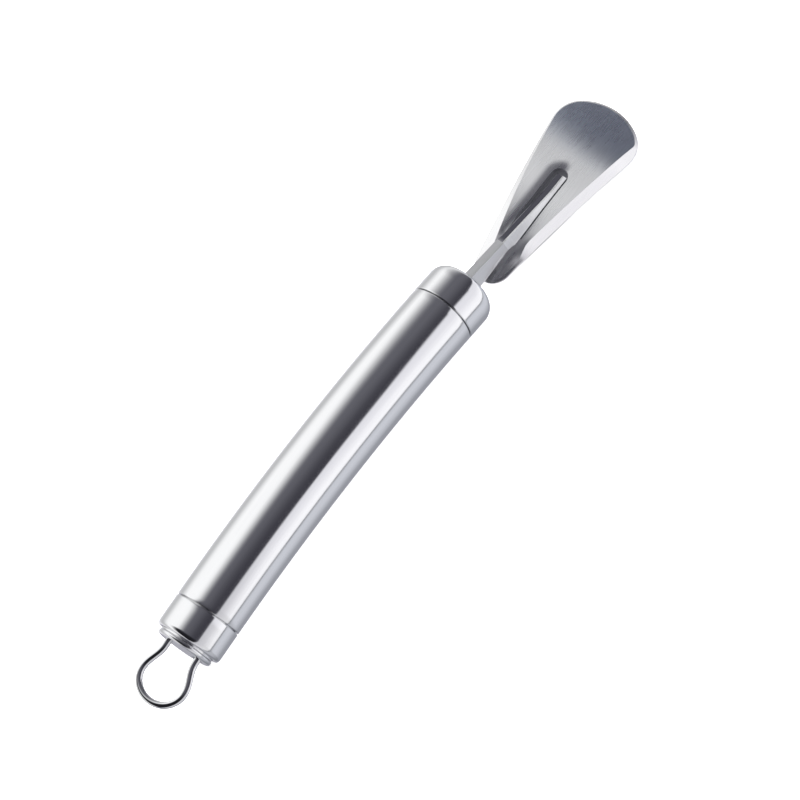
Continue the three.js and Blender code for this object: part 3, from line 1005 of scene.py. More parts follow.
@dataclass
class Blade:
    """The peeling plate, the scoring knife in its slot and the welds at the heel.

    Angles are in degrees. A pair of numbers is a stretch over which something comes in or fades: along
    the plate it is measured past the heel or before the tip, and across it from the plane of symmetry.
    """

    datum: Datum

    # Plate
    heel_gap: float = 3.2
    plate_drop: float = 2.95
    length: float = 55.0
    thickness: float = 1.2
    arch_radius: float = 205.0
    crown_setback: float = 2.8
    heel_radius: float = 5.2
    flare: float = 9.8
    front_radius: float = 16.5
    corner_radius: float = 7.8
    slot_width: float = 4.7
    slot_from_heel: float = 13.7
    slot_length: float = 21.0

    # Ground border
    side_bevel: float = 2.0
    left_border: float = 2.5
    left_taper: Pair = (8.0, 6.0)
    tip_bevel: float = 0.5
    tip_rim: float = 0.1
    bevel: float = 20.0
    border_start: Pair = (7.5, 14.0)
    border_inside: float = 0.985
    least_square: float = 0.1
    sides_part: Pair = (0.0, 2.0)

    # Sheen of the border
    left_gleam: float = 26.0
    right_gleam: float = 52.0
    gleam_start: Pair = (8.5, 15.0)
    front_loss: float = 0.4
    corner_loss: float = 0.35
    corner_stretch: Pair = (6.5, 4.5)
    corner_turn: Pair = (0.3, 0.8)
    back_share: float = 0.15

    # Sheen of the upper face
    heel_tilt: float = -6.0
    plate_tilt: float = 6.5
    right_turns: Pair = (3.0, 31.0)
    left_turns: Pair = (10.0, 31.0)
    sides_meet: Pair = (-2.0, 2.0)
    heel_roll: float = 40.0
    heel_limit: float = 0.5
    heel_fades: Pair = (8.0, 16.0)
    heel_curl: float = 11.0
    curl_rises: Pair = (4.0, 9.0)
    curl_falls: Pair = (12.0, 17.0)
    curl_across: Pair = (0.2, 0.7)
    heel_dish: float = 15.0
    dish_fades: Pair = (3.0, 9.0)
    dish_across: Pair = (0.1, 0.5)
    tip_bend: float = 0.08
    tip_bends: Pair = (18.0, 8.0)
    tip_roll: float = 17.0
    tip_rolls: Pair = (17.0, 5.5)
    tip_skew: float = 0.1
    tip_slant: float = 0.03
    lip_roll: float = 24.0
    lip_width: float = 2.8
    lip_across: Pair = (-1.5, 1.0)

    # Loose points of the upper face
    slot_rings: tuple[float, ...] = (0.35, 0.8, 1.3, 1.9, 2.6)
    slot_clear: float = 3.1
    grid: Pair = (1.1, 0.9)
    grid_half: int = 14
    rim_clear: float = 0.5

    # Knife
    bar: float = 2.2
    tang_end: float = 3.0
    nose_inside: float = 0.5
    ridge_above_nose: float = 3.3
    ridge_from_nose: float = 1.2
    ridge_clear: float = 0.12
    tang_above: float = 3.7
    tang_below: float = 3.9
    end_sink: float = 0.8
    end_room: float = 1.6
    side_room: float = 0.42
    foot_spread: float = 13.0
    slot_lead: float = 1.0
    slot_step: float = 0.01
    seat_sink: float = 0.03
    seat_lift: float = 0.02
    chamfer: float = 0.12
    chamfer_rise: float = 0.2
    chamfer_room: float = 0.06
    grind_from_heel: float = 9.6
    grind_run_out: float = 1.8
    grind_drop: float = 0.6
    grind_hollow: tuple[Pair, ...] = ((0.1, 0.55), (0.2, 0.88), (0.32, 1.0), (0.6, 1.03), (0.85, 1.0))
    edge_land: float = 0.4
    edge_round: float = 0.05
    soft_edge: float = 0.14
    bar_slant: float = 0.05

    # Sheen of the knife
    bar_roll: float = 9.0
    grind_roll: float = -10.0
    edge_roll: float = 26.0
    top_lean: float = 0.2
    chamfer_way: Triple = (0.0, -0.8, 0.6)
    face_lean: float = 21.0
    lean_gain: float = 16.0
    lean_ends: Pair = (4.0, 5.0)

    # Welds
    weld_leg: float = 1.4
    weld_height: float = 1.6
    weld_inset: float = 1.4
    weld_end_share: float = 0.15
    weld_hollow: float = 0.3
    weld_blend: Pair = (0.3, 0.8)
    weld_spans: int = 28
    weld_steps: int = 10
    face_gap: float = 0.05

    def __post_init__(self) -> None:
        """Works out the places that the other sizes give."""
        self.nose = self.datum.front(Vector((self.datum.nose_length, 0, 0)))
        self.heel = self.nose.x + self.heel_gap
        self.tip = self.heel + self.length
        self.slot_start = self.heel + self.slot_from_heel
        self.slot_end = self.slot_start + self.slot_length
        self.knife_end = self.slot_end - self.end_room
        self.crown = (self.heel + self.tip) / 2 - self.crown_setback

    def _past_heel(self, x: float, stretch: Pair) -> float:
        """Smooth step over a stretch measured from the heel."""
        return ease(x, self.heel + stretch[0], self.heel + stretch[1])

    def _before_tip(self, x: float, stretch: Pair) -> float:
        """Smooth step over a stretch measured back from the tip."""
        return ease(x, self.tip - stretch[0], self.tip - stretch[1])

    def top(self, x: float) -> float:
        """Height of the plate's upper face."""
        return self.nose.z - self.plate_drop - (x - self.crown) ** 2 / (2 * self.arch_radius)

    def square(self, x: float) -> Vector:
        """Direction square to the plate's upper face."""
        return Vector(((x - self.crown) / self.arch_radius, 0, 1)).normalized()

    def ridge(self, x: float) -> float:
        """Works out the height of the knife's ridge.

        Args:
            x: place along the tool.

        Returns:
            The height.
        """
        start, end = self.nose.x + self.ridge_from_nose, self.knife_end
        high, low = self.nose.z + self.ridge_above_nose, self.top(end) - self.end_sink
        return high + (low - high) * (x - start) / (end - start)

    def outline(self) -> Rim:
        """The plate's outline.

        Returns:
            Places in plan with their outward directions, once around from the heel by the left side.
        """
        flare = math.radians(self.flare)
        heel, front = Vector((self.heel + self.heel_radius, 0)), Vector((self.tip - self.front_radius, 0))
        outward = Vector((-math.sin(flare), math.cos(flare)))
        forward = Vector((math.cos(flare), math.sin(flare)))
        start = heel + outward * (self.heel_radius - self.corner_radius) - front
        lean = start.dot(forward)
        inside = self.front_radius - self.corner_radius
        run = -lean + math.sqrt(lean ** 2 - start.length_squared + inside ** 2)
        corner = start + forward * run + front
        meet = math.degrees(math.atan2(corner.y, corner.x - front.x))
        half = self._arc_rim(heel, self.heel_radius, 180, 90 + self.flare, 20)
        first, last = half[-1][0], corner + outward * self.corner_radius
        half += [(first.lerp(last, i / 24), outward) for i in range(1, 24)]
        half += self._arc_rim(corner, self.corner_radius, 90 + self.flare, meet, 16)
        half += self._arc_rim(front, self.front_radius, meet, 0, 20)[1:]
        mirror = [(Vector((p.x, -p.y)), Vector((n.x, -n.y))) for p, n in reversed(half[1:-1])]
        return half + mirror

    @staticmethod
    def _arc_rim(middle: Vector, radius: float, start: float, end: float, steps: int) -> Rim:
        """Places of an arc of the outline with their outward directions."""
        ways = [Vector(p) for p in arc((0, 0), (1, 1), start, end, steps)]
        return [(middle + way * radius, way) for way in ways]

    def _bevel_width(self, spot: Vector, out: Vector) -> float:
        """Width of the bright border at a place on the outline.

        Args:
            spot: the place in plan.
            out: the outline's direction outward there.

        Returns:
            The width, which tapers off along the left side. On the right the border is one flat cut, whose
            straight inner edge runs out at the tip's corner, and it fades away before the heel.
        """
        gone = (spot.x - self.heel - self.left_taper[0]) / (self.length - sum(self.left_taper))
        left = self.left_border * (1 - min(1.0, max(0.0, gone))) ** 2
        flare = math.radians(self.flare)
        square = max(self.least_square, -out.y * math.cos(flare) - out.x * math.sin(flare))
        cut = self.corner_radius - (self.corner_radius - self.side_bevel) / square
        right = max(self.tip_rim, cut * self._past_heel(spot.x, self.border_start))
        return self.tip_bevel + right + (left - right) * ease(spot.y, *self.sides_part)

    def _gleam(self, spot: Vector, out: Vector) -> Vector:
        """Shading direction of the bright border.

        Args:
            spot: the place in plan.
            out: the outline's direction outward there.

        Returns:
            The direction, of length 1.
        """
        angle = self.right_gleam + (self.left_gleam - self.right_gleam) * (1 + out.y) / 2
        begun = self._past_heel(spot.x, self.gleam_start)
        angle *= begun + (1 - begun) * ease(spot.y, *self.sides_part)
        angle *= 1 - self.front_loss * max(0.0, out.x)
        corner = self._before_tip(spot.x, self.corner_stretch) * ease(-out.y, *self.corner_turn)
        angle *= 1 - self.corner_loss * corner
        forward = out.x if out.x > 0 else self.back_share * out.x
        aside = Vector((forward, out.y, 0)) * math.tan(math.radians(angle))
        return (self.sheen(spot.x, spot.y) + aside).normalized()

    def _off_slot(self, x: float, y: float) -> float:
        """Measures how far a place is from the slot's edge.

        Args:
            x: place along the tool.
            y: place across.

        Returns:
            The distance, 0 or less inside the slot.
        """
        half = self.slot_width / 2
        ahead = max(0.0, x - (self.slot_end - half))
        behind = max(0.0, self.slot_start - x)
        if ahead:
            return math.hypot(ahead + behind, y) - half
        return math.hypot(behind, max(0.0, abs(y) - half))

    def sheen(self, x: float, y: float) -> Vector:
        """Shading direction of the plate's worked upper face.

        The face is bent down a little towards the tip, rolled over at the right of the heel, and pressed
        down along the left lip of the slot.

        Args:
            x: place along the tool.
            y: place across.

        Returns:
            The direction, of length 1.
        """
        slope = (x - self.crown) / self.arch_radius + self.tip_bend * self._before_tip(x, self.tip_bends)
        change = self.plate_tilt - self.heel_tilt
        right = self.heel_tilt + change * self._past_heel(x, self.right_turns)
        left = self.heel_tilt + change * self._past_heel(x, self.left_turns)
        roll = right + (left - right) * ease(y, *self.sides_meet)
        rolled = self._before_tip(x - self.tip_skew * max(0.0, y), self.tip_rolls)
        roll -= self.tip_roll * (1 - self.tip_slant * y) * rolled
        if y < 0:
            roll += self._heel_lean(x, y)
        if y > 0 or x > self.slot_end - self.slot_width / 2:
            lip = 1 - ease(self._off_slot(x, y), 0.0, self.lip_width)
            roll -= self.lip_roll * lip * ease(y, *self.lip_across)
        return Vector((slope, math.tan(math.radians(roll)), 1)).normalized()

    def _heel_lean(self, x: float, y: float) -> float:
        """Works out how far the plate leans at the right of the heel: rolled, curled and dished.

        Args:
            x: place along the tool.
            y: place across.

        Returns:
            The lean in degrees, below 0 to the right.
        """
        outer = max(0.0, abs(y) - self.bar / 2) / self.heel_radius
        lean = -self.heel_roll * min(self.heel_limit, outer) * (1 - self._past_heel(x, self.heel_fades))
        curled = self._past_heel(x, self.curl_rises) * (1 - self._past_heel(x, self.curl_falls))
        lean -= self.heel_curl * curled * ease(outer, *self.curl_across)
        dished = (1 - ease(outer, *self.dish_across)) * (1 - self._past_heel(x, self.dish_fades))
        return lean + self.heel_dish * dished

    def plate(self) -> bpy.types.Object:
        """Builds the plate with its ground border and its slot.

        Returns:
            The piece.
        """
        shape = Shape(self.datum, self.datum.straight)
        rim = self.outline()
        slope = math.tan(math.radians(self.bevel))
        rows = []
        for share in (0.0, self.border_inside, 1.0):
            row = []
            for spot, out in rim:
                width = self._bevel_width(spot, out)
                flat = spot - out * width * share
                height = self.top(flat.x) - (1 - share) * min(width, self.side_bevel) * slope
                normal = self._gleam(flat, out) if share < 1 else self.sheen(*flat)
                row.append(shape.point(flat.x, flat.y, height, normal))
            rows.append(row)
        upper, lower, under = [], [], []
        for number, (spot, out) in zip(rows[0], rim):
            low = self.top(spot.x) - self.thickness
            gleam = self._gleam(spot, out)
            upper.append(shape.point(*shape.spots[number], gleam))
            lower.append(shape.point(spot.x, spot.y, low, (out.to_3d() + gleam).normalized()))
            under.append(shape.point(spot.x, spot.y, low, -self.square(spot.x)))
        shape.finish = PlateFinish.RIM
        for first, second in ((rows[0], rows[1]), (rows[1], rows[2]), (upper, lower)):
            shape.strip(first, second)
        self._slot(shape, rows[2], under)
        return shape.piece("peeling_plate_blade", [PLATE_STEEL, RIM_STEEL, SLOT_SHADE_STEEL])

    def _slot_rim(self) -> Rim:
        """Draws the slot's outline.

        Returns:
            Places in plan with their directions away from the slot's middle.
        """
        half = self.slot_width / 2
        end = Vector((self.slot_end - half, 0))
        spans = [self.slot_start + (end.x - self.slot_start) * i / 14 for i in range(14)]
        row = [(Vector((x, -half)), Vector((0, -1))) for x in spans]
        row += self._arc_rim(end, half, -90, 90, 24)
        row += [(Vector((x, half)), Vector((0, 1))) for x in reversed(spans)]
        return row + [(Vector((self.slot_start, half * (0.5 - i / 4))), Vector((-1, 0))) for i in range(1, 4)]

    def _slot(self, shape: Shape, border: list[int], under: list[int]) -> None:
        """Cuts the slot and fills the plate's two faces around it.

        Args:
            shape: the plate's shape.
            border: the ring at the inner edge of the ground border.
            under: the ring at the lower edge.
        """
        lip, mouth, foot, base = [], [], [], []
        for spot, out in self._slot_rim():
            high, low = self.top(spot.x), self.top(spot.x) - self.thickness
            lip.append(shape.point(spot.x, spot.y, high, self.sheen(*spot)))
            mouth.append(shape.point(spot.x, spot.y, high, -out.to_3d()))
            foot.append(shape.point(spot.x, spot.y, low, -out.to_3d()))
            base.append(shape.point(spot.x, spot.y, low, -self.square(spot.x)))
        # The slot's walls take the near-black steel of painted shade.
        shape.finish = PlateFinish.SLOT
        shape.strip(mouth, foot)
        shape.finish = PlateFinish.FACE
        rim = [shape.spots[number] for number in border]

        def inside(x: float, y: float) -> bool:
            """Whether a place is in the slot."""
            return self._off_slot(x, y) <= 0 and x > self.slot_start

        def beyond(x: float, y: float) -> bool:
            """Whether a place is in the slot or on the ground border."""
            right, left = self._across(rim, x)
            return inside(x, y) or not right < y < left

        shape.fill([border, lip, *self._field(shape, border)], beyond, "xy")
        shape.fill([under, base], inside, "xy")

    def _field(self, shape: Shape, border: list[int]) -> list[list[int]]:
        """Adds loose points all over the upper face, so that its sheen changes smoothly.

        Args:
            shape: the plate's shape.
            border: the ring at the inner edge of the ground border.

        Returns:
            The points' numbers, each alone in a list.
        """
        rim = [shape.spots[number] for number in border]
        long, wide = self.grid
        places = [spot + out * grow for grow in self.slot_rings for spot, out in self._slot_rim()]
        for i in range(1, int(self.length / long)):
            sides = range(-self.grid_half, self.grid_half + 1)
            row = [Vector((self.heel + long * i, wide * j)) for j in sides]
            places += [spot for spot in row if self._off_slot(*spot) > self.slot_clear]
        loose = []
        for x, y in places:
            right, left = self._across(rim, x)
            if right + self.rim_clear < y < left - self.rim_clear:
                loose.append([shape.point(x, y, self.top(x), self.sheen(x, y))])
        return loose

    @staticmethod
    def _across(rim: list[Vector], x: float) -> Pair:
        """Finds how far a ring reaches to either side.

        Args:
            rim: the ring's points in order.
            x: place along the tool.

        Returns:
            The ring's places to the right and to the left, both 0 where it has none.
        """
        meets = [0.0]
        for near, far in zip(rim, rim[1:] + rim[:1]):
            if near.x != far.x and (near.x - x) * (far.x - x) <= 0:
                meets.append(near.y + (far.y - near.y) * (x - near.x) / (far.x - near.x))
        return min(meets), max(meets)

    def _section(self, x: float) -> list[Pair]:
        """One cross section of the knife.

        Args:
            x: place along the tool.

        Returns:
            Places across and up, once around from the lower right.
        """
        half, soft, ground = self.bar / 2, self.soft_edge, self._ground(x)
        start = self.nose.x + self.ridge_from_nose
        high, low = max(self.ridge(x), self.top(x) + self.ridge_clear), self._under(x)
        if x < start:
            setback = self.datum.nose_length - self.datum.nose_crown
            crown = self.datum.front(Vector((setback, 0, self.tang_above)))
            high = crown.z + (self.ridge(start) - crown.z) * (x - crown.x) / (start - crown.x)
        spread = ease(x, self.slot_start - self.foot_spread, self.slot_start)
        foot = half + (self.slot_width / 2 - self.side_room - half) * spread
        fall = self.bar_slant + (self.grind_drop - self.bar_slant) * ground
        seat = self.top(x) - self.seat_sink if x > self.slot_start else low + self.seat_lift
        shoulder = min(seat + self.chamfer_rise, high - self.chamfer_room)
        right, left = -half + self.edge_land, half - soft
        hollow = []
        for across, sink in self.grind_hollow:
            depth = across + (sink - across) * ground
            hollow.append((right + (left - right) * across, high - fall * depth))
        return [
            (-foot, low), (-foot, seat), (-foot + self.chamfer, shoulder),
            (-half, high - soft - (self.edge_round - soft) * ground), (right, high),
            *hollow, (left, high - fall), (half, high - fall - soft), (half, low),
        ]

    def _under(self, x: float) -> float:
        """Works out the height of the knife's underside.

        Args:
            x: place along the tool.

        Returns:
            The height.
        """
        if x > self.slot_start:
            return self.top(x) - self.thickness
        if x >= self.heel:
            return self.top(x) + self.face_gap
        nose = self.datum.front(Vector((self.datum.nose_length, 0, -self.tang_below)))
        seat = self.top(self.heel) + self.face_gap
        return nose.z + (seat - nose.z) * max(0.0, x - nose.x) / (self.heel - nose.x)

    def _edge_on(self, x: float, first: Pair, second: Pair, span: int) -> Vector:
        """Shading direction of one long face of the knife.

        Args:
            x: place along the tool.
            first: one end of the face across the section.
            second: its other end.
            span: the face's number in the section.

        Returns:
            The direction outward.
        """
        if span == Span.FACE:
            gain = ease(x, self.slot_start - self.lean_ends[0], self.knife_end - self.lean_ends[1])
            lean = math.radians(self.face_lean + self.lean_gain * gain)
            return Vector((0, -math.cos(lean), math.sin(lean)))
        if span == Span.CHAMFER and x > self.slot_start:
            return Vector(self.chamfer_way)
        if Span.LAND <= span <= Span.TOP_END:
            top = self.bar_roll + (self.grind_roll - self.bar_roll) * self._ground(x)
            roll = math.radians(self.edge_roll if span == Span.LAND else top)
            return Vector((self.top_lean, math.tan(roll), 1)).normalized()
        return Vector((0, first[1] - second[1], second[0] - first[0])).normalized()

    def _ground(self, x: float) -> float:
        """Share of the full grind at a place along the knife."""
        return min(1.0, max(0.0, (x - self.heel - self.grind_from_heel) / self.grind_run_out))

    def _finish(self, x: float, span: int) -> KnifeFinish:
        """Chooses the finish of one face of the knife.

        Args:
            x: place of the face's rear end along the tool.
            span: the face's number in the section.

        Returns:
            The finish.
        """
        # The foot, down in the slot, takes the near-black steel of painted shade.
        if span == Span.FOOT:
            return KnifeFinish.FOOT
        if x < self.heel + self.grind_from_heel or span > Span.ROUND:
            return KnifeFinish.BAR
        return KnifeFinish.FACE if span <= Span.LAND else KnifeFinish.GRIND

    def knife(self) -> bpy.types.Object:
        """Builds the bar that runs from the nose into the slot and carries the ground edge.

        Returns:
            The piece.
        """
        shape = Shape(self.datum, self.datum.straight)
        stations = self._stations()
        sections = [self._section(x) for x in stations]
        count = len(sections[0])
        for span in range(count):
            rows = []
            for x, section in zip(stations, sections):
                first, second = section[span], section[(span + 1) % count]
                normal = self._edge_on(x, first, second, span)
                rows.append([shape.point(x, *first, normal), shape.point(x, *second, normal)])
            for x, near, far in zip(stations, rows, rows[1:]):
                shape.finish = self._finish(x, span)
                shape.face(near[0], near[1], far[1], far[0])
        shape.finish = KnifeFinish.BAR
        for end, way in ((0, -1), (-1, 1)):
            shape.face(*(shape.point(stations[end], y, z, Vector((way, 0, 0))) for y, z in sections[end]))
        return shape.piece("scoring_knife_bar", [BAR_STEEL, GRIND_STEEL, FACE_STEEL, SLOT_SHADE_STEEL])

    def _stations(self) -> list[float]:
        """Places the knife's sections.

        Returns:
            Their places along the tool, from the tang to the knife's end.
        """
        nose, grind, slot = self.nose.x, self.heel + self.grind_from_heel, self.slot_start
        row = [nose - self.tang_end, nose - self.nose_inside, nose + self.ridge_from_nose, self.heel]
        row += [self.heel + self.grind_from_heel * i / 6 for i in range(1, 7)]
        row += [grind + self.grind_run_out * i / 4 for i in range(1, 5)]
        row += [slot - self.slot_lead, slot - self.slot_step, slot + self.slot_step]
        return row + [slot + (self.knife_end - slot) * i / 18 for i in range(1, 19)]

    def weld(self, side: Side) -> bpy.types.Object:
        """Builds the hollow fillet on one side of the bar.

        Args:
            side: the side.

        Returns:
            The piece.
        """
        shape = Shape(self.datum, self.datum.straight)
        start = self.heel + self.side_bevel + self.weld_inset
        end = self.slot_start - self.weld_inset
        inner = self.bar / 2 + self.face_gap
        lean = math.radians(self.face_lean)
        face = Vector((0, side.value * math.cos(lean), math.sin(lean)))
        rings = []
        for i in range(self.weld_spans + 1):
            share = i / self.weld_spans
            x = start + (end - start) * share
            grow = math.sqrt(max(0.0, math.sin(math.pi * share)))
            size = self.weld_end_share + (1 - self.weld_end_share) * grow
            leg, height = self.weld_leg * size, self.weld_height * size
            hollow = [(leg, 0), Vector((leg, height)) * self.weld_hollow, (0, height)]
            curve = [(Vector((0, 0)), 0.0), (Vector(hollow[0]), 0.0)]
            curve += [(p, j / self.weld_steps) for j, p in enumerate(pulled(hollow, self.weld_steps))]
            ring = []
            for p, climb in curve:
                y = side.value * (inner + p.x)
                normal = self.sheen(x, y).lerp(face, ease(climb, *self.weld_blend)).normalized()
                ring.append(shape.point(x, y, self.top(x) + self.face_gap + p.y, normal))
            rings.append(ring)
        for first, second in zip(rings, rings[1:]):
            shape.strip(first, second)
        shape.face(*rings[0])
        shape.face(*rings[-1])
        return shape.piece(f"heel_weld_{side.name.lower()}_fillet", [WELD_STEEL])

    def build(self) -> None:
        """Builds the four pieces and puts them on the handle."""
        settle(self.plate(), Body.HANDLE, Slot.PLATE, "peeling_plate")
        settle(self.knife(), Body.HANDLE, Slot.KNIFE, "scoring_knife")
        for side in Side:
            settle(self.weld(side), Body.HANDLE, Slot.WELD, f"heel_weld_{side.name.lower()}")


@dataclass
class InnerPieces:
    """The solids inside the caps, kept as they are."""

    nodes: dict[str, bpy.types.Object]
    names: tuple[str, ...] = ("tang_socket", "tang_pin", "loop_retainer")

    def dress(self) -> None:
        """Gives each solid the machined finish."""
        material = INNER_STEEL.make(carried=False)
        for name in self.names:
            piece = self.nodes[name]
            piece.data.materials.clear()
            piece.data.materials.append(material)
            LOG.info("%s: kept, dressed", name)


# Studio


@dataclass
class Studio:
    """Floor, soft light from two panels, and the camera.

    The light depends on the direction around the tool's axis, in degrees from straight up to the left or
    to the right, and on the direction's share along the axis. A pair of numbers is a soft edge in one of
    them.
    """

    # Camera
    roll: float = 24.66
    pitch: float = 11.04
    heading: float = 37.99
    pixels_per_mm: float = 4.002
    middle: Pair = (385.594, 413.689)
    image: float = 800.0
    distance: float = 600.0

    # Overhead, back and front
    dim: Colour = (0.055, 0.054, 0.068)
    ceiling: Colour = (0.146, 0.145, 0.168)
    ceiling_edge: Pair = (-40.0, 8.0)
    back_wall: Colour = (0.016, 0.016, 0.02)
    back_edge: Pair = (-0.4, -0.12)
    front_low: Colour = (0.66, 0.68, 0.76)
    front_edge: Pair = (0.79, 0.88)
    front_top: Pair = (0.0, 0.1)

    # Right panel and the table under it
    right_edge: Pair = (46.5, 51.0)
    right_shift: float = 60.0
    right_shift_from: float = 0.28
    right_shift_limit: float = 0.15
    right_glow: Colour = (0.98, 0.97, 1.02)
    right_glare: Colour = (1.24, 1.23, 1.26)
    glare_edge: Pair = (55.0, 92.0)
    rear_share: float = 0.74
    rear_edge: Pair = (-0.02, 0.12)
    table: Colour = (0.75, 0.765, 0.825)
    table_edge: Pair = (97.5, 100.5)
    far_table: Colour = (0.37, 0.38, 0.42)
    far_edge: Pair = (118.0, 165.0)
    horizon: Pair = (99.5, 108.5)
    horizon_dark: float = 0.32

    # Left panel, and the bands below it in turn
    left_glow: Colour = (1.22, 1.22, 1.22)
    left_edge: Pair = (3.0, 38.0)
    left_reach: float = 0.5
    left_spread: Triple = (28.0, 25.0, 210.0)
    left_delay: float = 30.0
    delay_edge: Pair = (0.1, 0.35)
    left_bands: tuple[tuple[Pair, Colour], ...] = (
        ((70.0, 108.0), (0.64, 0.64, 0.65)),
        ((114.0, 138.0), right_glow),
        ((140.0, 157.0), (0.44, 0.44, 0.49)),
        ((165.0, 179.0), far_table),
    )

    # Lamp and floor
    fill_power: float = 14.0
    fill_height: float = 0.7
    fill_size: float = 0.9
    floor_half: float = 2.5
    floor_tints: tuple[Colour, Colour] = ((0.93, 0.93, 0.935), (0.96, 0.96, 0.96))
    floor_glow: float = 0.8
    white: Colour = (1.0, 1.0, 1.0)
    # A soft shadow painted on the floor under the plate: its middle, half size, soft edge, colour and dim
    # glow.
    painted_shadow_middle: Pair = (0.0672, 0.0029)
    painted_shadow_half: Pair = (0.0155, 0.0032)
    painted_shadow_edge: Pair = (0.75, 2.2)
    painted_shadow_tint: Colour = (0.1, 0.1, 0.11)
    painted_shadow_glow: Colour = (0.03, 0.03, 0.034)

    def floor(self) -> None:
        """Lays the pale floor, with a soft shadow painted under the plate."""
        mesh = bpy.data.meshes.new("studio_floor")
        work = bmesh.new()
        bmesh.ops.create_grid(work, x_segments=8, y_segments=8, size=self.floor_half)
        work.to_mesh(mesh)
        work.free()
        floor = bpy.data.objects.new("studio_floor", mesh)
        bpy.context.scene.collection.objects.link(floor)
        material = bpy.data.materials.new("pale_floor")
        material.use_nodes = True
        graph = Graph(material.node_tree)
        place = graph.node("ShaderNodeTexCoord", None, None, "Object")
        tint = graph.mix(graph.noise(place * 3.0), *self.floor_tints)
        x, y, _ = graph.split(place)
        # Painted shadow: inside this soft patch under the plate, the floor's colour and glow go dark.
        aside = (x - self.painted_shadow_middle[0]) / self.painted_shadow_half[0]
        across = (y - self.painted_shadow_middle[1]) / self.painted_shadow_half[1]
        outside_painted_shadow = graph.rise(aside * aside + across * across, *self.painted_shadow_edge)
        surface = graph.node("ShaderNodeBsdfPrincipled", None, {
            "Base Color": graph.mix(outside_painted_shadow, self.painted_shadow_tint, tint), "Roughness": 0.9,
            "Specular IOR Level": 0.0, "Emission Strength": self.floor_glow,
            "Emission Color": graph.mix(outside_painted_shadow, self.painted_shadow_glow, self.white),
        })
        graph.end("ShaderNodeOutputMaterial", surface)
        mesh.materials.append(material)
        floor.visible_glossy = False

    def _left(self, graph: Graph, x: Signal, turn: Signal) -> tuple[Signal, Signal]:
        """Makes the left panel and what lies below it.

        Args:
            graph: the world's graph.
            x: the direction's share along the tool's axis.
            turn: degrees from straight up to the left.

        Returns:
            Where the panel shows, from 0 to 1, and its light.
        """
        reach = graph.node("ShaderNodeClamp", None, {"Value": x, "Min": 0.0, "Max": self.left_reach})
        near, far, steep = self.left_spread
        later = graph.rise(-x, *self.delay_edge) * self.left_delay
        start, end = reach * near + self.left_edge[0], reach * (reach * steep + far) + self.left_edge[1]
        light: Value = self.left_glow
        for edge, colour in self.left_bands:
            light = graph.mix(graph.rise(turn, *edge), light, colour)
        return graph.rise(turn - later, start, end), light

    def _right(self, graph: Graph, x: Signal, turn: Signal) -> tuple[Signal, Signal]:
        """Makes the right panel and the table under it.

        Args:
            graph: the world's graph.
            x: the direction's share along the tool's axis.
            turn: degrees from straight up to the right.

        Returns:
            Where the panel shows, from 0 to 1, and its light.
        """
        light = graph.mix(graph.rise(turn, *self.glare_edge), self.right_glow, self.right_glare)
        ground = graph.mix(graph.rise(turn, *self.far_edge), self.table, self.far_table)
        ground = ground * (self.horizon_dark + (1 - self.horizon_dark) * graph.rise(turn, *self.horizon))
        light = graph.mix(graph.rise(turn, *self.table_edge), light, ground)
        light = light * (self.rear_share + (1 - self.rear_share) * graph.rise(x, *self.rear_edge))
        ahead = graph.node("ShaderNodeClamp", None, {
            "Value": x - self.right_shift_from, "Min": 0.0, "Max": self.right_shift_limit,
        })
        return graph.rise(turn + ahead * self.right_shift, *self.right_edge), light

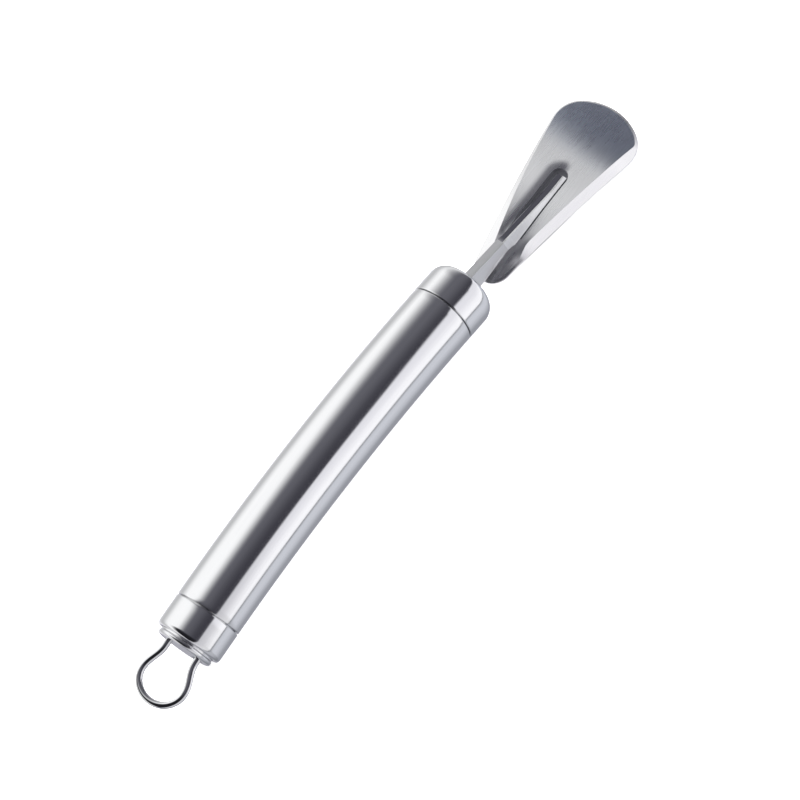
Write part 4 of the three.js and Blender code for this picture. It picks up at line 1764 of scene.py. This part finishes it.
    def sky(self) -> None:
        """Makes the surroundings: a dim ceiling between two bright panels."""
        world = bpy.data.worlds.new("studio")
        bpy.context.scene.world = world
        world.use_nodes = True
        graph = Graph(world.node_tree)
        x, y, z = graph.split(graph.node("ShaderNodeTexCoord", None, None, "Generated"))
        turn = graph.node("ShaderNodeMath", {"operation": "ARCTAN2"}, {0: -y, 1: z}) * math.degrees(1)
        light = graph.mix(graph.rise(-turn, *self.ceiling_edge), self.dim, self.ceiling)
        light = graph.mix(graph.rise(x, *self.back_edge), self.back_wall, light)
        for shown, panel in (self._left(graph, x, -turn), self._right(graph, x, turn)):
            light = graph.mix(shown, light, panel)
        front = graph.rise(x, *self.front_edge) * graph.rise(-z, *self.front_top)
        light = graph.mix(front, light, self.front_low)
        seen = graph.node("ShaderNodeLightPath", None, None, "Is Camera Ray")
        light = graph.mix(seen, light, self.white)
        back = graph.node("ShaderNodeBackground", None, {"Color": light, "Strength": 1.0})
        graph.end("ShaderNodeOutputWorld", back)
        world.cycles_visibility.diffuse = False

    def fill(self) -> None:
        """Hangs the wide soft lamp over the floor."""
        lamp = bpy.data.lights.new("overhead_fill", "AREA")
        lamp.shape = "DISK"
        lamp.size = self.fill_size
        lamp.energy = self.fill_power
        holder = bpy.data.objects.new("overhead_fill", lamp)
        holder.location = (0, 0, self.fill_height)
        holder.visible_glossy = False
        bpy.context.scene.collection.objects.link(holder)

    def camera(self) -> None:
        """Sets the far camera at the photograph's angle."""
        roll, pitch, heading = (math.radians(a) for a in (self.roll, self.pitch, self.heading))
        along = Vector((
            math.cos(pitch), -math.sin(roll) * math.sin(pitch), math.cos(roll) * math.sin(pitch),
        ))
        left = Vector((0, math.cos(roll), math.sin(roll)))
        toward = along.cross(left)
        right = along * math.sin(heading) - left * math.cos(heading)
        up = along * math.cos(heading) + left * math.sin(heading)
        aim_x = (self.image / 2 - self.middle[0]) / self.pixels_per_mm
        aim_y = (self.middle[1] - self.image / 2) / self.pixels_per_mm
        spot = (right * aim_x + up * aim_y + toward * self.distance) / MM_PER_M
        lens = bpy.data.cameras.new("photo_camera")
        lens.type = "ORTHO"
        lens.ortho_scale = self.image / self.pixels_per_mm / MM_PER_M
        camera = bpy.data.objects.new("photo_camera", lens)
        turned = Matrix((right, up, toward)).transposed().to_4x4()
        camera.matrix_world = Matrix.Translation(spot) @ turned
        bpy.context.scene.collection.objects.link(camera)
        bpy.context.scene.camera = camera

    def build(self) -> None:
        """Sets up the whole studio."""
        self.floor()
        self.sky()
        self.fill()
        self.camera()
        bpy.context.scene.view_settings.view_transform = "Standard"
        LOG.info("studio: floor, two panels, fill lamp and camera")


def main() -> None:
    """Loads the frame and builds each sub-assembly in order."""
    logging.basicConfig(level=logging.INFO, format="%(name)s: %(message)s")
    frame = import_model()
    datum = Datum.from_frame()
    Handle(datum).build()
    RearEnd(datum).build()
    Blade(datum).build()
    InnerPieces(frame["nodes"]).dress()
    Studio().build()


if __name__ == "__main__":
    main()
